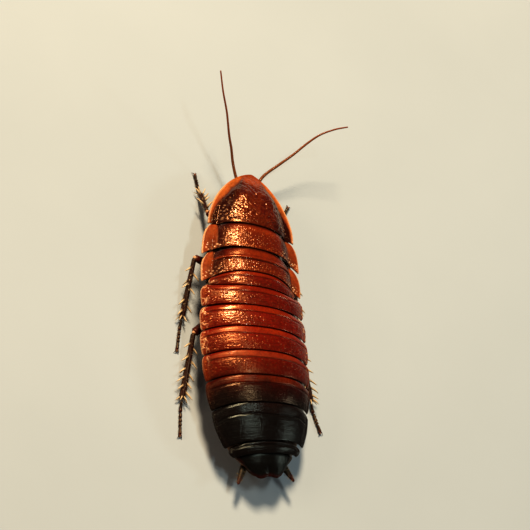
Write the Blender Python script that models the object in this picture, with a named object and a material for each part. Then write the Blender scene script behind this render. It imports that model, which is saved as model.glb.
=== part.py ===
"""An adult female Madagascar hissing cockroach, life size, standing still on a floor.

The insect faces +Y, with its right side at +X. Sizes are in millimetres until the last step, which
turns every mesh into metres. A place on the body is given as side (to the right of its axis), behind
(back from the pronotum's front edge, along the axis) and height (above the floor).
"""

import math
import random
from collections import namedtuple

import bmesh
import bpy
import numpy as np
from mathutils import Matrix, Vector

MM = 0.001
GAP = 0.3

# The body bends a little to the right, evenly, towards both ends.
BEND_CENTRE = 16.0
BEND_PER_MM = 0.004

# Height of the line where the dorsal plates meet the belly plates.
PLEURA_BEHIND = (0.0, 6.0, 12.0, 26.0, 45.0, 58.0, 67.0)
PLEURA_HEIGHT = (5.7, 6.3, 6.6, 6.5, 5.9, 4.9, 4.2)

Plate = namedtuple("Plate", "name rear half_width crown corner lip colour")

# Dorsal plates, front to rear: the rear edge's place, half width and crown height there, how far the
# rear corners reach back past the middle, and how far the rear lip stands above the next plate.
DORSAL_PLATES = (
    Plate("pronotum", 14.6, 9.8, 4.0, 0.4, 0.25, "shell_dark"),
    Plate("mesonotum", 20.3, 10.5, 4.4, 1.4, 0.30, "shell_brown"),
    Plate("metanotum", 25.7, 11.0, 4.7, 2.2, 0.30, "shell_brown"),
    Plate("tergite_1", 28.9, 9.4, 4.8, -0.5, 0.30, "shell_red"),
    Plate("tergite_2", 33.1, 11.3, 5.0, 0.0, 0.35, "shell_red"),
    Plate("tergite_3", 37.6, 11.6, 5.0, 0.6, 0.35, "shell_red"),
    Plate("tergite_4", 42.5, 11.6, 5.0, 0.7, 0.35, "shell_red"),
    Plate("tergite_5", 47.4, 11.3, 4.85, 0.9, 0.35, "shell_red"),
    Plate("tergite_6", 52.7, 10.6, 4.4, 1.1, 0.35, "shell_black"),
    Plate("tergite_7", 59.9, 8.6, 3.4, 0.9, 0.35, "shell_black"),
    Plate("tergite_8_9", 62.2, 7.0, 2.7, 0.3, 0.25, "shell_black"),
)
# Plates whose front is not as wide as the rear of the plate before them.
FRONT_HALF_WIDTH = {"tergite_1": 9.2, "tergite_2": 10.9, "tergite_8_9": 7.9}
EXTRA_GAP = {"tergite_2": 0.15}
PLATE_BULGE = 0.35
EDGE = 0.65
UNDERCUT = 0.35

# The pronotum's plan is a rounded arch: half width against distance from its front.
PRONOTUM = DORSAL_PLATES[0]
OUTLINE_ALONG = 1.8
OUTLINE_ACROSS = 0.7
PRONOTUM_FRONT_HALF = 5.0
PRONOTUM_RISE = 2.3
HOOD_DEPTH = 1.9
HOOD_CENTRE = 5.4
HOOD_LENGTH = 4.4
HOOD_HALF_WIDTH = 5.6
BUMP_SIDE = 3.2
BUMP_BEHIND = 7.2
BUMP_HEIGHT = 0.45
BUMP_WIDTH = 1.9

# The last dorsal plate is a rounded flap with a notch at the rear.
ANAL_PLATE_REAR = 66.9
ANAL_PLATE_FRONT_HALF = 6.2
ANAL_PLATE_REAR_HALF = 4.1
ANAL_PLATE_ROUNDING = 2.6
ANAL_PLATE_NOTCH = 0.7
ANAL_PLATE_THICKNESS = 0.6

# Belly plates: rear edge, half width and depth below the pleural line.
BELLY_PLATES = (
    Plate("prosternum", 13.6, 5.9, 2.0, 0.0, 0.0, "shell_belly"),
    Plate("mesosternum", 20.6, 7.5, 2.3, 0.0, 0.0, "shell_belly"),
    Plate("metasternum", 27.0, 8.6, 2.4, 0.0, 0.0, "shell_belly"),
    Plate("sternite_2", 33.3, 9.5, 2.7, 0.2, 0.25, "shell_belly"),
    Plate("sternite_3", 37.9, 10.0, 3.5, 0.3, 0.25, "shell_belly"),
    Plate("sternite_4", 42.8, 10.1, 4.1, 0.4, 0.25, "shell_belly"),
    Plate("sternite_5", 47.7, 9.8, 4.2, 0.5, 0.25, "shell_belly"),
    Plate("sternite_6", 53.0, 9.1, 3.8, 0.6, 0.25, "shell_belly"),
    Plate("sternite_7", 65.4, 4.5, 1.5, 0.0, 0.0, "shell_belly"),
)
BELLY_FRONT = Plate("front", 7.4, 4.6, 1.6, 0.0, 0.0, "shell_belly")
BELLY_EDGE = 0.5
LAST_STERNITE_ROUNDING = 3.4

# The head hangs under the pronotum, its mouth towards the rear.
HEAD_CENTRE = (0.0, 5.4, 3.95)
HEAD_RADII = (3.3, 1.9, 3.3)
HEAD_TILT_DEG = 24.0
MOUTH_NARROWING = 0.42
EYE_SIDE = 2.8
EYE_BEHIND = 4.7
EYE_HEIGHT = 5.0
EYE_RADII = (0.95, 1.1, 1.6)

# Legs: the coxa's root, trochanter, knee, ankle and toe as (side, behind, height), on the right.
LEGS = {
    "fore": ((3.8, 9.2, 4.5), (2.2, 14.2, 2.6), (8.6, 10.4, 3.6), (10.2, 5.4, 0.95), (11.8, 1.2, 0.42)),
    "mid": ((5.4, 16.4, 4.3), (2.7, 22.8, 2.6), (11.5, 21.4, 4.9), (12.9, 32.2, 0.95), (14.3, 38.0, 0.42)),
    "hind": ((5.9, 24.2, 4.2), (3.0, 31.2, 2.3), (12.0, 36.6, 3.6), (14.9, 48.8, 0.95), (16.3, 55.2, 0.42)),
}
# The left legs stand a little differently: (side, behind) added to the knee, ankle and toe.
LEFT_SHIFT = {
    "fore": ((-0.2, -0.4), (-1.2, -0.8), (-1.4, -0.9)),
    "mid": ((0.0, 0.4), (-0.1, 1.2), (-0.4, 1.6)),
    "hind": ((-0.4, 0.6), (-0.9, 0.9), (-1.3, 1.1)),
}
COXA_MEETS = {
    "fore": ("prosternum", "mesosternum"),
    "mid": ("mesosternum", "metasternum"),
    "hind": ("metasternum", "sternite_2"),
}
COXA_RADIUS = {"fore": 1.75, "mid": 2.05, "hind": 2.25}
FEMUR_RADIUS = {"fore": 1.05, "mid": 1.15, "hind": 1.3}
TIBIA_RADIUS = {"fore": 0.52, "mid": 0.56, "hind": 0.62}
# Spines along each tibia, and the spurs round its ankle.
SPINE_COUNT = {"fore": 6, "mid": 9, "hind": 12}
SPUR_ROWS_DEG = (-100.0, -35.0, 35.0, 100.0)
SPUR_START = 0.75
SPINE_LENGTH = (1.2, 1.8)
SPINE_RADIUS = 0.26
SPINE_TIP_RADIUS = 0.06
SPINE_LEAN_DEG = 48.0
SPUR_LEAN_DEG = 43.0
SPINE_ROWS_DEG = (70.0, -70.0, 165.0)
SPINE_CLEARS_FLOOR = 0.35
TARSUS_RADIUS = 0.43
TARSOMERES = 5
CLAW_LENGTH = 0.95

# Antenna waypoints, from the socket on the face to the tip.
ANTENNA_PATHS = {
    "left": ((-1.75, 2.4, 5.0), (-2.8, 1.2, 5.1), (-4.4, -1.4, 6.3), (-5.8, -3.7, 8.0), (-7.2, -5.6, 9.5),
             (-9.3, -9.0, 12.0), (-11.5, -12.1, 14.0), (-13.4, -15.4, 15.8)),
    "right": ((1.75, 2.4, 5.0), (3.1, -1.1, 5.6), (6.5, -5.2, 6.4), (8.9, -8.0, 7.5), (11.3, -11.2, 9.0),
              (13.4, -13.5, 10.5), (16.1, -15.4, 11.8), (18.9, -17.0, 12.5)),
}
SOCKETS = {"left": (-1.2, 4.2, 4.7), "right": (1.2, 4.2, 4.7)}
SCAPE_RADIUS = 0.55
FLAGELLUM_RADIUS = 0.38
FLAGELLUM_TIP_RADIUS = 0.16
FLAGELLUM_POINTS = 30

# Palps hang beside the mouth: joints on the right side.
MAXILLARY_PALP = ((1.6, 6.6, 2.0), (2.6, 6.1, 1.4), (3.0, 4.8, 1.5), (2.6, 3.6, 0.95))
LABIAL_PALP = ((0.8, 7.3, 1.9), (1.5, 7.5, 1.3), (1.7, 6.6, 0.8))
PALP_RADIUS = 0.34

# Mouth parts on the face: centre as (side, behind, height) and radii.
LABRUM = ((0.0, 5.2, 1.55), (1.15, 0.55, 0.8))
MANDIBLE = ((1.35, 5.8, 1.75), (0.6, 0.75, 0.85))

CERCUS_ROOT = (3.9, 63.0, 4.15)
CERCUS_TIP = (6.2, 67.0, 4.0)
CERCUS_RADIUS = 0.75

COLOURS = {
    "shell_dark": ((0.045, 0.014, 0.008), 0.25),
    "shell_brown": ((0.16, 0.040, 0.012), 0.25),
    "shell_red": ((0.20, 0.030, 0.010), 0.22),
    "shell_black": ((0.012, 0.009, 0.008), 0.25),
    "shell_belly": ((0.10, 0.035, 0.014), 0.35),
    "head": ((0.05, 0.018, 0.010), 0.3),
    "eye": ((0.008, 0.007, 0.008), 0.15),
    "antenna": ((0.16, 0.065, 0.025), 0.5),
    "leg": ((0.035, 0.014, 0.008), 0.3),
}

materials = {}


def make_materials():
    for name, (colour, roughness) in COLOURS.items():
        material = bpy.data.materials.new(name)
        material.use_nodes = True
        shader = material.node_tree.nodes["Principled BSDF"]
        shader.inputs["Base Color"].default_value = (*colour, 1.0)
        shader.inputs["Roughness"].default_value = roughness
        shader.inputs["Metallic"].default_value = 0.0
        materials[name] = material


def bend_turn(behind):
    """How far the body's axis has turned at this distance from its front."""
    return BEND_PER_MM * (behind - BEND_CENTRE)


def on_body(side, behind, height):
    """A point of the body, with its bend, in millimetres."""
    turn = bend_turn(behind)
    axis_side = turn * (behind - BEND_CENTRE) / 2
    return Vector(
        (
            axis_side + side * math.cos(turn),
            -behind + side * math.sin(turn),
            height,
        )
    )


def pleura(behind):
    return float(np.interp(behind, PLEURA_BEHIND, PLEURA_HEIGHT))


def rear_edge(plate, side):
    """How far back the plate's rear edge lies at this distance from the axis."""
    return plate.rear + plate.corner * min(1.2, abs(side) / plate.half_width) ** 5


def abdomen_arch(across):
    return max(0.0, 1 - across**2.2) ** 0.85


def thorax_arch(across):
    """A dome over the inner three quarters, and a flatter flange outside it."""
    dome = max(0.0, 1 - (across / 0.8) ** 2.4) ** 0.85
    return 0.7 * dome + 0.3 * (1 - across**2)


def outline(behind):
    """The pronotum's half width at this distance from its front."""
    left = max(0.0, 1 - behind / PRONOTUM.rear) ** OUTLINE_ALONG
    return PRONOTUM.half_width * (1 - left) ** OUTLINE_ACROSS


def outline_front(side):
    """The inverse of outline: where the pronotum's front edge lies at this side."""
    share = min(1.0, abs(side) / PRONOTUM.half_width) ** (1 / OUTLINE_ACROSS)
    return PRONOTUM.rear * (1 - (1 - share) ** (1 / OUTLINE_ALONG))


def seam_lean(plate, side, arch):
    """How far the wall at this plate's rear edge leans forward on its way down."""
    across = min(1.0, abs(side) / plate.half_width)
    return UNDERCUT * (EDGE + max(0.0, plate.crown - EDGE) * arch(across))


def part_collection():
    return bpy.data.collections["cockroach"]


def add_object(name, mesh, colour):
    """A new object of the model holding this bmesh, which is freed."""
    bmesh.ops.recalc_face_normals(mesh, faces=mesh.faces)
    data = bpy.data.meshes.new(name)
    mesh.to_mesh(data)
    mesh.free()
    data.materials.append(materials[colour])
    made = bpy.data.objects.new(name, data)
    part_collection().objects.link(made)
    return made


def plate_solid(name, columns, rows, outer, inner, colour):
    """A closed plate: a grid bent to outer(across, along), and its extrusion bent to inner."""
    mesh = bmesh.new()
    bmesh.ops.create_grid(mesh, x_segments=columns, y_segments=rows, size=1)
    shares = {vert: (vert.co.x, (1 - vert.co.y) / 2) for vert in mesh.verts}
    extruded = bmesh.ops.extrude_face_region(mesh, geom=list(mesh.faces))["geom"]
    for vert in [item for item in extruded if isinstance(item, bmesh.types.BMVert)]:
        across, along = vert.co.x, (1 - vert.co.y) / 2
        vert.co = inner(across, along)
    for vert, (across, along) in shares.items():
        vert.co = outer(across, along)
    return add_object(name, mesh, colour)


def plate_profile(along, lip):
    """Height added along a dorsal plate: low in front, a step, then a rise to the rear lip."""
    return -lip + lip * min(1.0, along / 0.35) ** 0.7 + 0.35 * lip * math.sin(math.pi * min(1, along * 1.1) ** 2)


def dorsal_plate(before, plate, arch):
    """A plate of the back, from 0.3 mm behind the plate before it to its own rear edge."""
    front_half = FRONT_HALF_WIDTH.get(plate.name, before.half_width)
    gap = GAP + EXTRA_GAP.get(plate.name, 0.0)

    def place(across, along):
        half = front_half + (plate.half_width - front_half) * along
        half += PLATE_BULGE * math.sin(math.pi * along**0.8)
        side = across * half
        start = rear_edge(before, side) + gap
        behind = start + (rear_edge(plate, side) - start) * along
        crown = before.crown + (plate.crown - before.crown) * along
        top = EDGE + (crown - EDGE) * arch(abs(across))
        top += plate_profile(along, plate.lip) * arch(abs(across)) ** 0.3
        return side, behind, max(top, EDGE * 0.6)

    def outer(across, along):
        side, behind, top = place(across, along)
        return on_body(side, behind, pleura(behind) + GAP / 2 + top)

    def inner(across, along):
        side, behind, _ = place(across, along)
        front, rear = seam_lean(before, side, abdomen_arch), seam_lean(plate, side, abdomen_arch)
        behind -= front + (rear - front) * along
        return on_body(side, behind, pleura(behind) + GAP / 2)

    return plate_solid(plate.name, 18, 4, outer, inner, plate.colour)


def pronotum_crown(behind):
    return PRONOTUM.crown * (1 - (1 - min(1.0, behind / PRONOTUM.rear)) ** PRONOTUM_RISE)


def pronotum_height(side, behind):
    across = min(1.0, abs(side) / max(outline(behind), 0.05))
    height = EDGE + max(0.0, pronotum_crown(behind) - EDGE) * thorax_arch(across)
    away = math.hypot(abs(side) - BUMP_SIDE, behind - BUMP_BEHIND) / BUMP_WIDTH
    return height + BUMP_HEIGHT * math.exp(-away * away)


def pronotum_place(across, along):
    """A grid laid over the arch-shaped plan: its front row follows the front edge."""
    front_side = PRONOTUM_FRONT_HALF * across
    start = outline_front(front_side)
    edge_start = outline_front(PRONOTUM_FRONT_HALF)
    edge_behind = edge_start + (PRONOTUM.rear - edge_start) * along
    side = outline(edge_behind) * across
    behind = start + (rear_edge(PRONOTUM, side) - start) * along
    return side, behind


def make_pronotum():
    def outer(across, along):
        side, behind = pronotum_place(across, along)
        return on_body(side, behind, pleura(behind) + GAP / 2 + pronotum_height(side, behind))

    def inner(across, along):
        side, behind = pronotum_place(across, along)
        top = pronotum_height(side, behind)
        behind -= seam_lean(PRONOTUM, side, abdomen_arch) * along**3
        inside = 1 - ((behind - HOOD_CENTRE) / HOOD_LENGTH) ** 2 - (side / HOOD_HALF_WIDTH) ** 2
        hood = min(HOOD_DEPTH * math.sqrt(max(0.0, inside)), max(0.0, top - 1.0))
        return on_body(side, behind, pleura(behind) + GAP / 2 + hood)

    plate_solid("pronotum", 20, 10, outer, inner, PRONOTUM.colour)


def make_anal_plate(before):
    """The supra-anal plate: a thin rounded flap with a notch in its rear edge."""

    def place(across, along):
        half = ANAL_PLATE_FRONT_HALF + (ANAL_PLATE_REAR_HALF - ANAL_PLATE_FRONT_HALF) * along**1.4
        side = across * half
        start = rear_edge(before, side) + GAP
        rounding = ANAL_PLATE_ROUNDING * abs(across) ** 3
        notch = ANAL_PLATE_NOTCH * math.exp(-((across / 0.25) ** 2))
        behind = start + (ANAL_PLATE_REAR - rounding - notch - start) * along
        crown = before.crown + (1.2 - before.crown) * along
        lift = max(0.0, crown - ANAL_PLATE_THICKNESS) * abdomen_arch(abs(across))
        return side, behind, ANAL_PLATE_THICKNESS + lift

    def outer(across, along):
        side, behind, top = place(across, along)
        return on_body(side, behind, pleura(behind) + GAP / 2 + top)

    def inner(across, along):
        side, behind, _ = place(across, along)
        behind -= seam_lean(before, side, abdomen_arch) * (1 - along)
        return on_body(side, behind, pleura(behind) + GAP / 2)

    plate_solid("supra_anal_plate", 12, 5, outer, inner, "shell_black")


def belly_plate(before, plate):
    last = plate is BELLY_PLATES[-1]

    def place(across, along):
        narrowing = along**2.2 if last else along
        side = across * (before.half_width + (plate.half_width - before.half_width) * narrowing)
        start = rear_edge(before, side) + GAP
        rounding = LAST_STERNITE_ROUNDING * abs(across) ** 3 if last else 0.0
        behind = start + (rear_edge(plate, side) - rounding - start) * along
        depth = before.crown + (plate.crown - before.crown) * along
        down = BELLY_EDGE + (depth - BELLY_EDGE) * abdomen_arch(abs(across))
        down += plate_profile(along, plate.lip) * abdomen_arch(abs(across)) ** 0.3
        return side, behind, max(down, BELLY_EDGE * 0.7)

    def outer(across, along):
        side, behind, down = place(across, along)
        return on_body(side, behind, pleura(behind) - GAP / 2 - down)

    def inner(across, along):
        side, behind, _ = place(across, along)
        front, rear = seam_lean(before, side, abdomen_arch), seam_lean(plate, side, abdomen_arch)
        behind -= front + (rear - front) * along
        return on_body(side, behind, pleura(behind) - GAP / 2)

    plate_solid(plate.name, 12, 6 if last else 3, outer, inner, plate.colour)


def make_body():
    make_pronotum()
    for before, plate in zip(DORSAL_PLATES, DORSAL_PLATES[1:]):
        arch = thorax_arch if plate.name.endswith("notum") else abdomen_arch
        dorsal_plate(before, plate, arch)
    make_anal_plate(DORSAL_PLATES[-1])
    for before, plate in zip((BELLY_FRONT, *BELLY_PLATES), BELLY_PLATES):
        belly_plate(before, plate)


def evaluated_mesh(source):
    """The object's mesh with its modifiers applied."""
    graph = bpy.context.evaluated_depsgraph_get()
    return bpy.data.meshes.new_from_object(source.evaluated_get(graph))


def remove(source):
    bpy.data.objects.remove(source, do_unlink=True)


def keep_largest(mesh):
    """Leaves only the closed surface that spans the largest box."""
    left = set(mesh.verts)
    islands = []
    while left:
        seed = left.pop()
        island, queue = {seed}, [seed]
        while queue:
            for edge in queue.pop().link_edges:
                for vert in edge.verts:
                    if vert in left:
                        left.remove(vert)
                        island.add(vert)
                        queue.append(vert)
        islands.append(island)

    def spread(island):
        points = np.array([vert.co for vert in island])
        return float(np.prod(np.ptp(points, axis=0) + 1e-6))

    islands.sort(key=spread)
    dropped = [vert for island in islands[:-1] for vert in island]
    bmesh.ops.delete(mesh, geom=dropped, context="VERTS")


def apply_boolean(target, operation, operands):
    """Applies one Boolean of the operands to the target, removes them, and keeps one closed surface."""
    group = bpy.data.collections.new("operands")
    for operand in operands:
        group.objects.link(operand)
    modifier = target.modifiers.new("boolean", "BOOLEAN")
    modifier.operation = operation
    modifier.solver = "EXACT"
    modifier.operand_type = "COLLECTION"
    modifier.use_self = True
    modifier.collection = group
    bpy.context.view_layer.update()
    result = evaluated_mesh(target)
    target.modifiers.clear()
    mesh = bmesh.new()
    mesh.from_mesh(result)
    bmesh.ops.triangulate(mesh, faces=mesh.faces)
    bmesh.ops.remove_doubles(mesh, verts=mesh.verts, dist=0.002)
    bmesh.ops.dissolve_degenerate(mesh, edges=mesh.edges, dist=0.002)
    keep_largest(mesh)
    mesh.to_mesh(target.data)
    mesh.free()
    bpy.data.meshes.remove(result)
    for operand in operands:
        remove(operand)
    bpy.data.collections.remove(group)


def cut_clear(target, *neighbours):
    """Cuts the target back from its neighbours' surfaces by the gap."""
    cutters = []
    for neighbour in neighbours:
        mesh = bmesh.new()
        mesh.from_mesh(neighbour.data)
        mesh.normal_update()
        moves = [(vert, vert.normal * GAP) for vert in mesh.verts]
        for vert, move in moves:
            vert.co += move
        cutters.append(add_object("cutter", mesh, "leg"))
    apply_boolean(target, "DIFFERENCE", cutters)


def cut_at_floor(target):
    """Leaves a small flat where the target stands on the floor."""
    mesh = bmesh.new()
    mesh.from_mesh(target.data)
    cut = bmesh.ops.bisect_plane(
        mesh,
        geom=[*mesh.verts, *mesh.edges, *mesh.faces],
        dist=0.0005,
        plane_co=(0, 0, 0),
        plane_no=(0, 0, -1),
        clear_outer=True,
    )
    rim = [item for item in cut["geom_cut"] if isinstance(item, bmesh.types.BMEdge)]
    bmesh.ops.contextual_create(mesh, geom=rim)
    bmesh.ops.triangulate(mesh, faces=mesh.faces)
    mesh.to_mesh(target.data)
    mesh.free()


def smooth_path(waypoints, count):
    """Evenly numbered points on a Catmull-Rom curve through the waypoints."""
    points = [Vector(point) for point in waypoints]
    points = [2 * points[0] - points[1], *points, 2 * points[-1] - points[-2]]
    spans = len(points) - 3
    path = []
    for step in range(count):
        where = spans * step / (count - 1)
        span = min(int(where), spans - 1)
        t = where - span
        a, b, c, d = points[span : span + 4]
        path.append(
            0.5 * (2 * b + (c - a) * t + (2 * a - 5 * b + 4 * c - d) * t**2 + (3 * b - a - 3 * c + d) * t**3)
        )
    return path


def tube(name, path, radii, colour, sides=8, flat=1.0, up=(0, 0, 1)):
    """A closed tube along the path with a radius at each point, thinner along up if it is flat."""
    curve = bpy.data.curves.new(name, "CURVE")
    curve.dimensions = "3D"
    curve.bevel_depth = 1.0
    curve.bevel_resolution = (sides - 4) // 2
    curve.use_fill_caps = True
    spline = curve.splines.new("POLY")
    spline.points.add(len(path) - 1)
    for point, place, radius in zip(spline.points, path, radii):
        point.co = (*place, 1.0)
        point.radius = radius
    made = bpy.data.objects.new(name, curve)
    part_collection().objects.link(made)
    bpy.context.view_layer.update()
    data = evaluated_mesh(made)
    remove(made)
    bpy.data.curves.remove(curve)
    mesh = bmesh.new()
    mesh.from_mesh(data)
    bpy.data.meshes.remove(data)
    bmesh.ops.remove_doubles(mesh, verts=mesh.verts, dist=0.0005)
    if flat != 1.0:
        squash(mesh, path[0], path[-1], Vector(up), flat)
    return add_object(name, mesh, colour)


def squash(mesh, start, end, up, flat):
    """Thins the mesh across the line from start to end, in the direction nearest up."""
    along = (Vector(end) - Vector(start)).normalized()
    thin = (up - up.dot(along) * along).normalized()
    for vert in mesh.verts:
        off = (vert.co - Vector(start)).dot(thin)
        vert.co -= thin * off * (1 - flat)


def limb(name, start, end, radii, colour, flat=1.0, up=(0, 0, 1), sides=8):
    """A straight limb segment whose radii are spaced evenly from start to end."""
    start, end = Vector(start), Vector(end)
    last = len(radii) - 1
    path = [start.lerp(end, step / last) for step in range(len(radii))]
    return tube(name, path, radii, colour, sides=sides, flat=flat, up=up)


def ellipsoid(name, centre, radii, colour, segments=16, rings=10):
    mesh = bmesh.new()
    bmesh.ops.create_uvsphere(mesh, u_segments=segments, v_segments=rings, radius=1)
    for vert in mesh.verts:
        vert.co = Vector(centre) + Vector([value * radius for value, radius in zip(vert.co, radii)])
    return add_object(name, mesh, colour)


def head_frame():
    tilt = Matrix.Rotation(-math.radians(HEAD_TILT_DEG), 4, "X")
    turn = Matrix.Rotation(bend_turn(HEAD_CENTRE[1]), 4, "Z")
    return Matrix.Translation(on_body(*HEAD_CENTRE)) @ turn @ tilt


def make_head():
    mesh = bmesh.new()
    bmesh.ops.create_uvsphere(mesh, u_segments=20, v_segments=12, radius=1)
    for vert in mesh.verts:
        down = max(0.0, -vert.co.z)
        narrow = 1 - MOUTH_NARROWING * down**1.5
        flatten = 0.82 if vert.co.y > 0 else 1.0
        vert.co.x *= HEAD_RADII[0] * narrow
        vert.co.y *= HEAD_RADII[1] * flatten * (1 - 0.25 * down)
        vert.co.z *= HEAD_RADII[2]
    mesh.transform(head_frame())
    head = add_object("head", mesh, "head")
    pieces = [ellipsoid("labrum", mirrored(LABRUM[0], "right"), LABRUM[1], "head", 12, 8)]
    for side in ("left", "right"):
        pieces.append(ellipsoid("mandible", mirrored(MANDIBLE[0], side), MANDIBLE[1], "head", 10, 7))
    apply_boolean(head, "UNION", pieces)
    return head


def mirrored(point, side):
    """The body's point on the right side, or its mirror image on the left."""
    return on_body(point[0] if side == "right" else -point[0], *point[1:])


def make_face(head):
    """Eyes, antennae and palps, each cut clear of the head that it grows from."""
    for side in ("left", "right"):
        centre = mirrored((EYE_SIDE, EYE_BEHIND, EYE_HEIGHT), side)
        eye = ellipsoid(f"eye_{side}", centre, EYE_RADII, "eye", segments=12, rings=8)
        cut_clear(eye, head)

        path = [on_body(*point) for point in ANTENNA_PATHS[side]]
        socket = on_body(*SOCKETS[side])
        reach = (path[0] - socket).length
        scape_end = path[0] - (path[0] - socket) * (GAP / 2 / reach)
        radii = [SCAPE_RADIUS * share for share in (0.9, 1.0, 1.0, 0.8)]
        scape = limb(f"antenna_{side}_scape", socket, scape_end, radii, "antenna")
        cut_clear(scape, head, eye)

        points = smooth_path(path, FLAGELLUM_POINTS)
        last = FLAGELLUM_POINTS - 1
        radii = [
            FLAGELLUM_RADIUS + (FLAGELLUM_TIP_RADIUS - FLAGELLUM_RADIUS) * step / last
            for step in range(FLAGELLUM_POINTS)
        ]
        flagellum = tube(f"antenna_{side}", points, radii, "antenna")
        cut_clear(flagellum, scape)

        for name, joints in (("maxillary", MAXILLARY_PALP), ("labial", LABIAL_PALP)):
            places = [mirrored(point, side) for point in joints]
            count = 3 * (len(places) - 1) + 1
            points = smooth_path(places, count)
            radii = [PALP_RADIUS * (0.75 if step % 3 == 0 else 1.0) for step in range(count)]
            palp = tube(f"{name}_palp_{side}", points, radii, "leg")
            cut_clear(palp, head)


def leg_points(pair, side):
    """The leg's joints as body points, root to toe."""
    points = []
    for step, (out, behind, height) in enumerate(LEGS[pair]):
        if side == "left" and step >= 2:
            more_out, more_behind = LEFT_SHIFT[pair][step - 2]
            out += more_out
            behind += more_behind
        points.append(mirrored((out, behind, height), side))
    return points


def make_tarsus(name, ankle, toe):
    """Five tarsomeres narrowing at each joint, cut flat where they stand on the floor."""
    radii = []
    for joint in range(TARSOMERES):
        swell = 1.0 if joint in (0, TARSOMERES - 1) else 0.9
        radii += [TARSUS_RADIUS * 0.72, TARSUS_RADIUS * swell, TARSUS_RADIUS * swell]
    radii.append(TARSUS_RADIUS * 0.6)
    last = len(radii) - 1
    path = []
    for step in range(len(radii)):
        share = step / last
        point = ankle.lerp(toe, share)
        sag = min(1.0, share / 0.25)
        point.z = ankle.z + (toe.z - 0.06 - ankle.z) * sag
        path.append(point)
    tarsus = tube(name, path, radii, "leg")
    along = (toe - ankle).normalized()
    across = along.cross(Vector((0, 0, 1))).normalized()
    claws = []
    for way in (-1, 1):
        start = toe - along * 0.2 + across * way * 0.12
        end = toe + along * CLAW_LENGTH * 0.8 + across * way * 0.5
        end.z = 0.22
        radii = [0.24, 0.2, 0.07]
        claws.append(limb("claw", start, end, radii, "leg"))
    apply_boolean(tarsus, "UNION", claws)
    return tarsus


def spine(root, tip):
    """A tapered spine of five sides."""
    mesh = bmesh.new()
    bmesh.ops.create_cone(
        mesh,
        cap_ends=True,
        segments=5,
        radius1=SPINE_RADIUS,
        radius2=SPINE_TIP_RADIUS,
        depth=(tip - root).length,
    )
    turn = (tip - root).to_track_quat("Z", "Y").to_matrix().to_4x4()
    mesh.transform(Matrix.Translation((root + tip) / 2) @ turn)
    return add_object("spine", mesh, "leg")


def spine_at(start, along, row_deg, lean_deg, radius, length):
    """A spine that leaves the tibia's axis at start, turned from its top by row_deg, leaning to the foot."""
    top = (Vector((0, 0, 1)) - along * along.z).normalized()
    out = Matrix.Rotation(math.radians(row_deg), 4, along) @ top
    lean = math.radians(lean_deg)
    root = start + out * radius * 0.3
    tip = root + (along * math.cos(lean) + out * math.sin(lean)) * (length + radius * 0.5)
    tip.z = max(tip.z, SPINE_CLEARS_FLOOR)
    return spine(root, tip)


def add_spines(tibia, pair, knee, ankle):
    """Grows rows of spines along the tibia and spurs round its ankle."""
    draw = random.Random(tibia.name)
    along = (ankle - knee).normalized()
    radius = TIBIA_RADIUS[pair]
    pieces = []
    for step in range(SPINE_COUNT[pair]):
        share = 0.16 + 0.7 * (step + draw.uniform(-0.2, 0.2)) / (SPINE_COUNT[pair] - 1)
        row = SPINE_ROWS_DEG[step % 3 if share < 0.6 else step % 2]
        length = draw.uniform(*SPINE_LENGTH)
        row += draw.uniform(-12, 12)
        pieces.append(spine_at(knee.lerp(ankle, share), along, row, SPINE_LEAN_DEG, radius, length))
    for row in SPUR_ROWS_DEG:
        length = draw.uniform(*SPINE_LENGTH)
        pieces.append(spine_at(ankle - along * SPUR_START, along, row, SPUR_LEAN_DEG, radius, length))
    apply_boolean(tibia, "UNION", pieces)


def make_leg(pair, side, sterna):
    root, trochanter, knee, ankle, toe = leg_points(pair, side)
    name = f"{pair}_{{}}_{side}"
    wide = COXA_RADIUS[pair]
    radii = [wide * share for share in (0.5, 0.85, 1.0, 1.0, 0.9, 0.65, 0.4)]
    coxa = limb(name.format("coxa"), root, trochanter, radii, "leg", flat=0.62, sides=10)
    cut_clear(coxa, *[part_collection().objects[name] for name in sterna])

    wide = FEMUR_RADIUS[pair]
    radii = [wide * share for share in (0.45, 0.8, 1.0, 1.0, 0.9, 0.7, 0.55)]
    femur = limb(name.format("femur"), trochanter, knee, radii, "leg", flat=0.7, sides=10)
    cut_clear(femur, coxa)

    wide = TIBIA_RADIUS[pair]
    radii = [wide * share for share in (0.8, 0.85, 0.95, 1.0, 1.1, 1.0)]
    tibia = limb(name.format("tibia"), knee, ankle, radii, "leg", flat=0.85)
    cut_clear(tibia, femur)

    tarsus = make_tarsus(name.format("tarsus"), ankle, toe)
    cut_clear(tarsus, tibia)
    cut_at_floor(tarsus)
    add_spines(tibia, pair, knee, ankle)


def make_cerci():
    for side in ("left", "right"):
        way = 1 if side == "right" else -1
        root = on_body(way * CERCUS_ROOT[0], *CERCUS_ROOT[1:])
        tip = on_body(way * CERCUS_TIP[0], *CERCUS_TIP[1:])
        radii = [CERCUS_RADIUS * share for share in (0.8, 1.0, 0.95, 0.8, 0.6, 0.35)]
        cercus = limb(f"cercus_{side}", root, tip, radii, "shell_black", flat=0.6)
        objects = part_collection().objects
        cut_clear(cercus, objects["tergite_8_9"], objects["supra_anal_plate"], objects["sternite_7"])


def settle_in_frame():
    """Turns every mesh into metres, with the origin on the floor under the middle of the whole model."""
    parts = list(part_collection().objects)
    corners = np.array([vert.co for part in parts for vert in part.data.vertices])
    middle = (corners.min(axis=0) + corners.max(axis=0)) / 2
    shift = Matrix.Translation((-middle[0], -middle[1], 0))
    for part in parts:
        part.data.transform(Matrix.Scale(MM, 4) @ shift)
        part.data.shade_smooth()
        part.data.set_sharp_from_angle(angle=math.radians(40))


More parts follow.
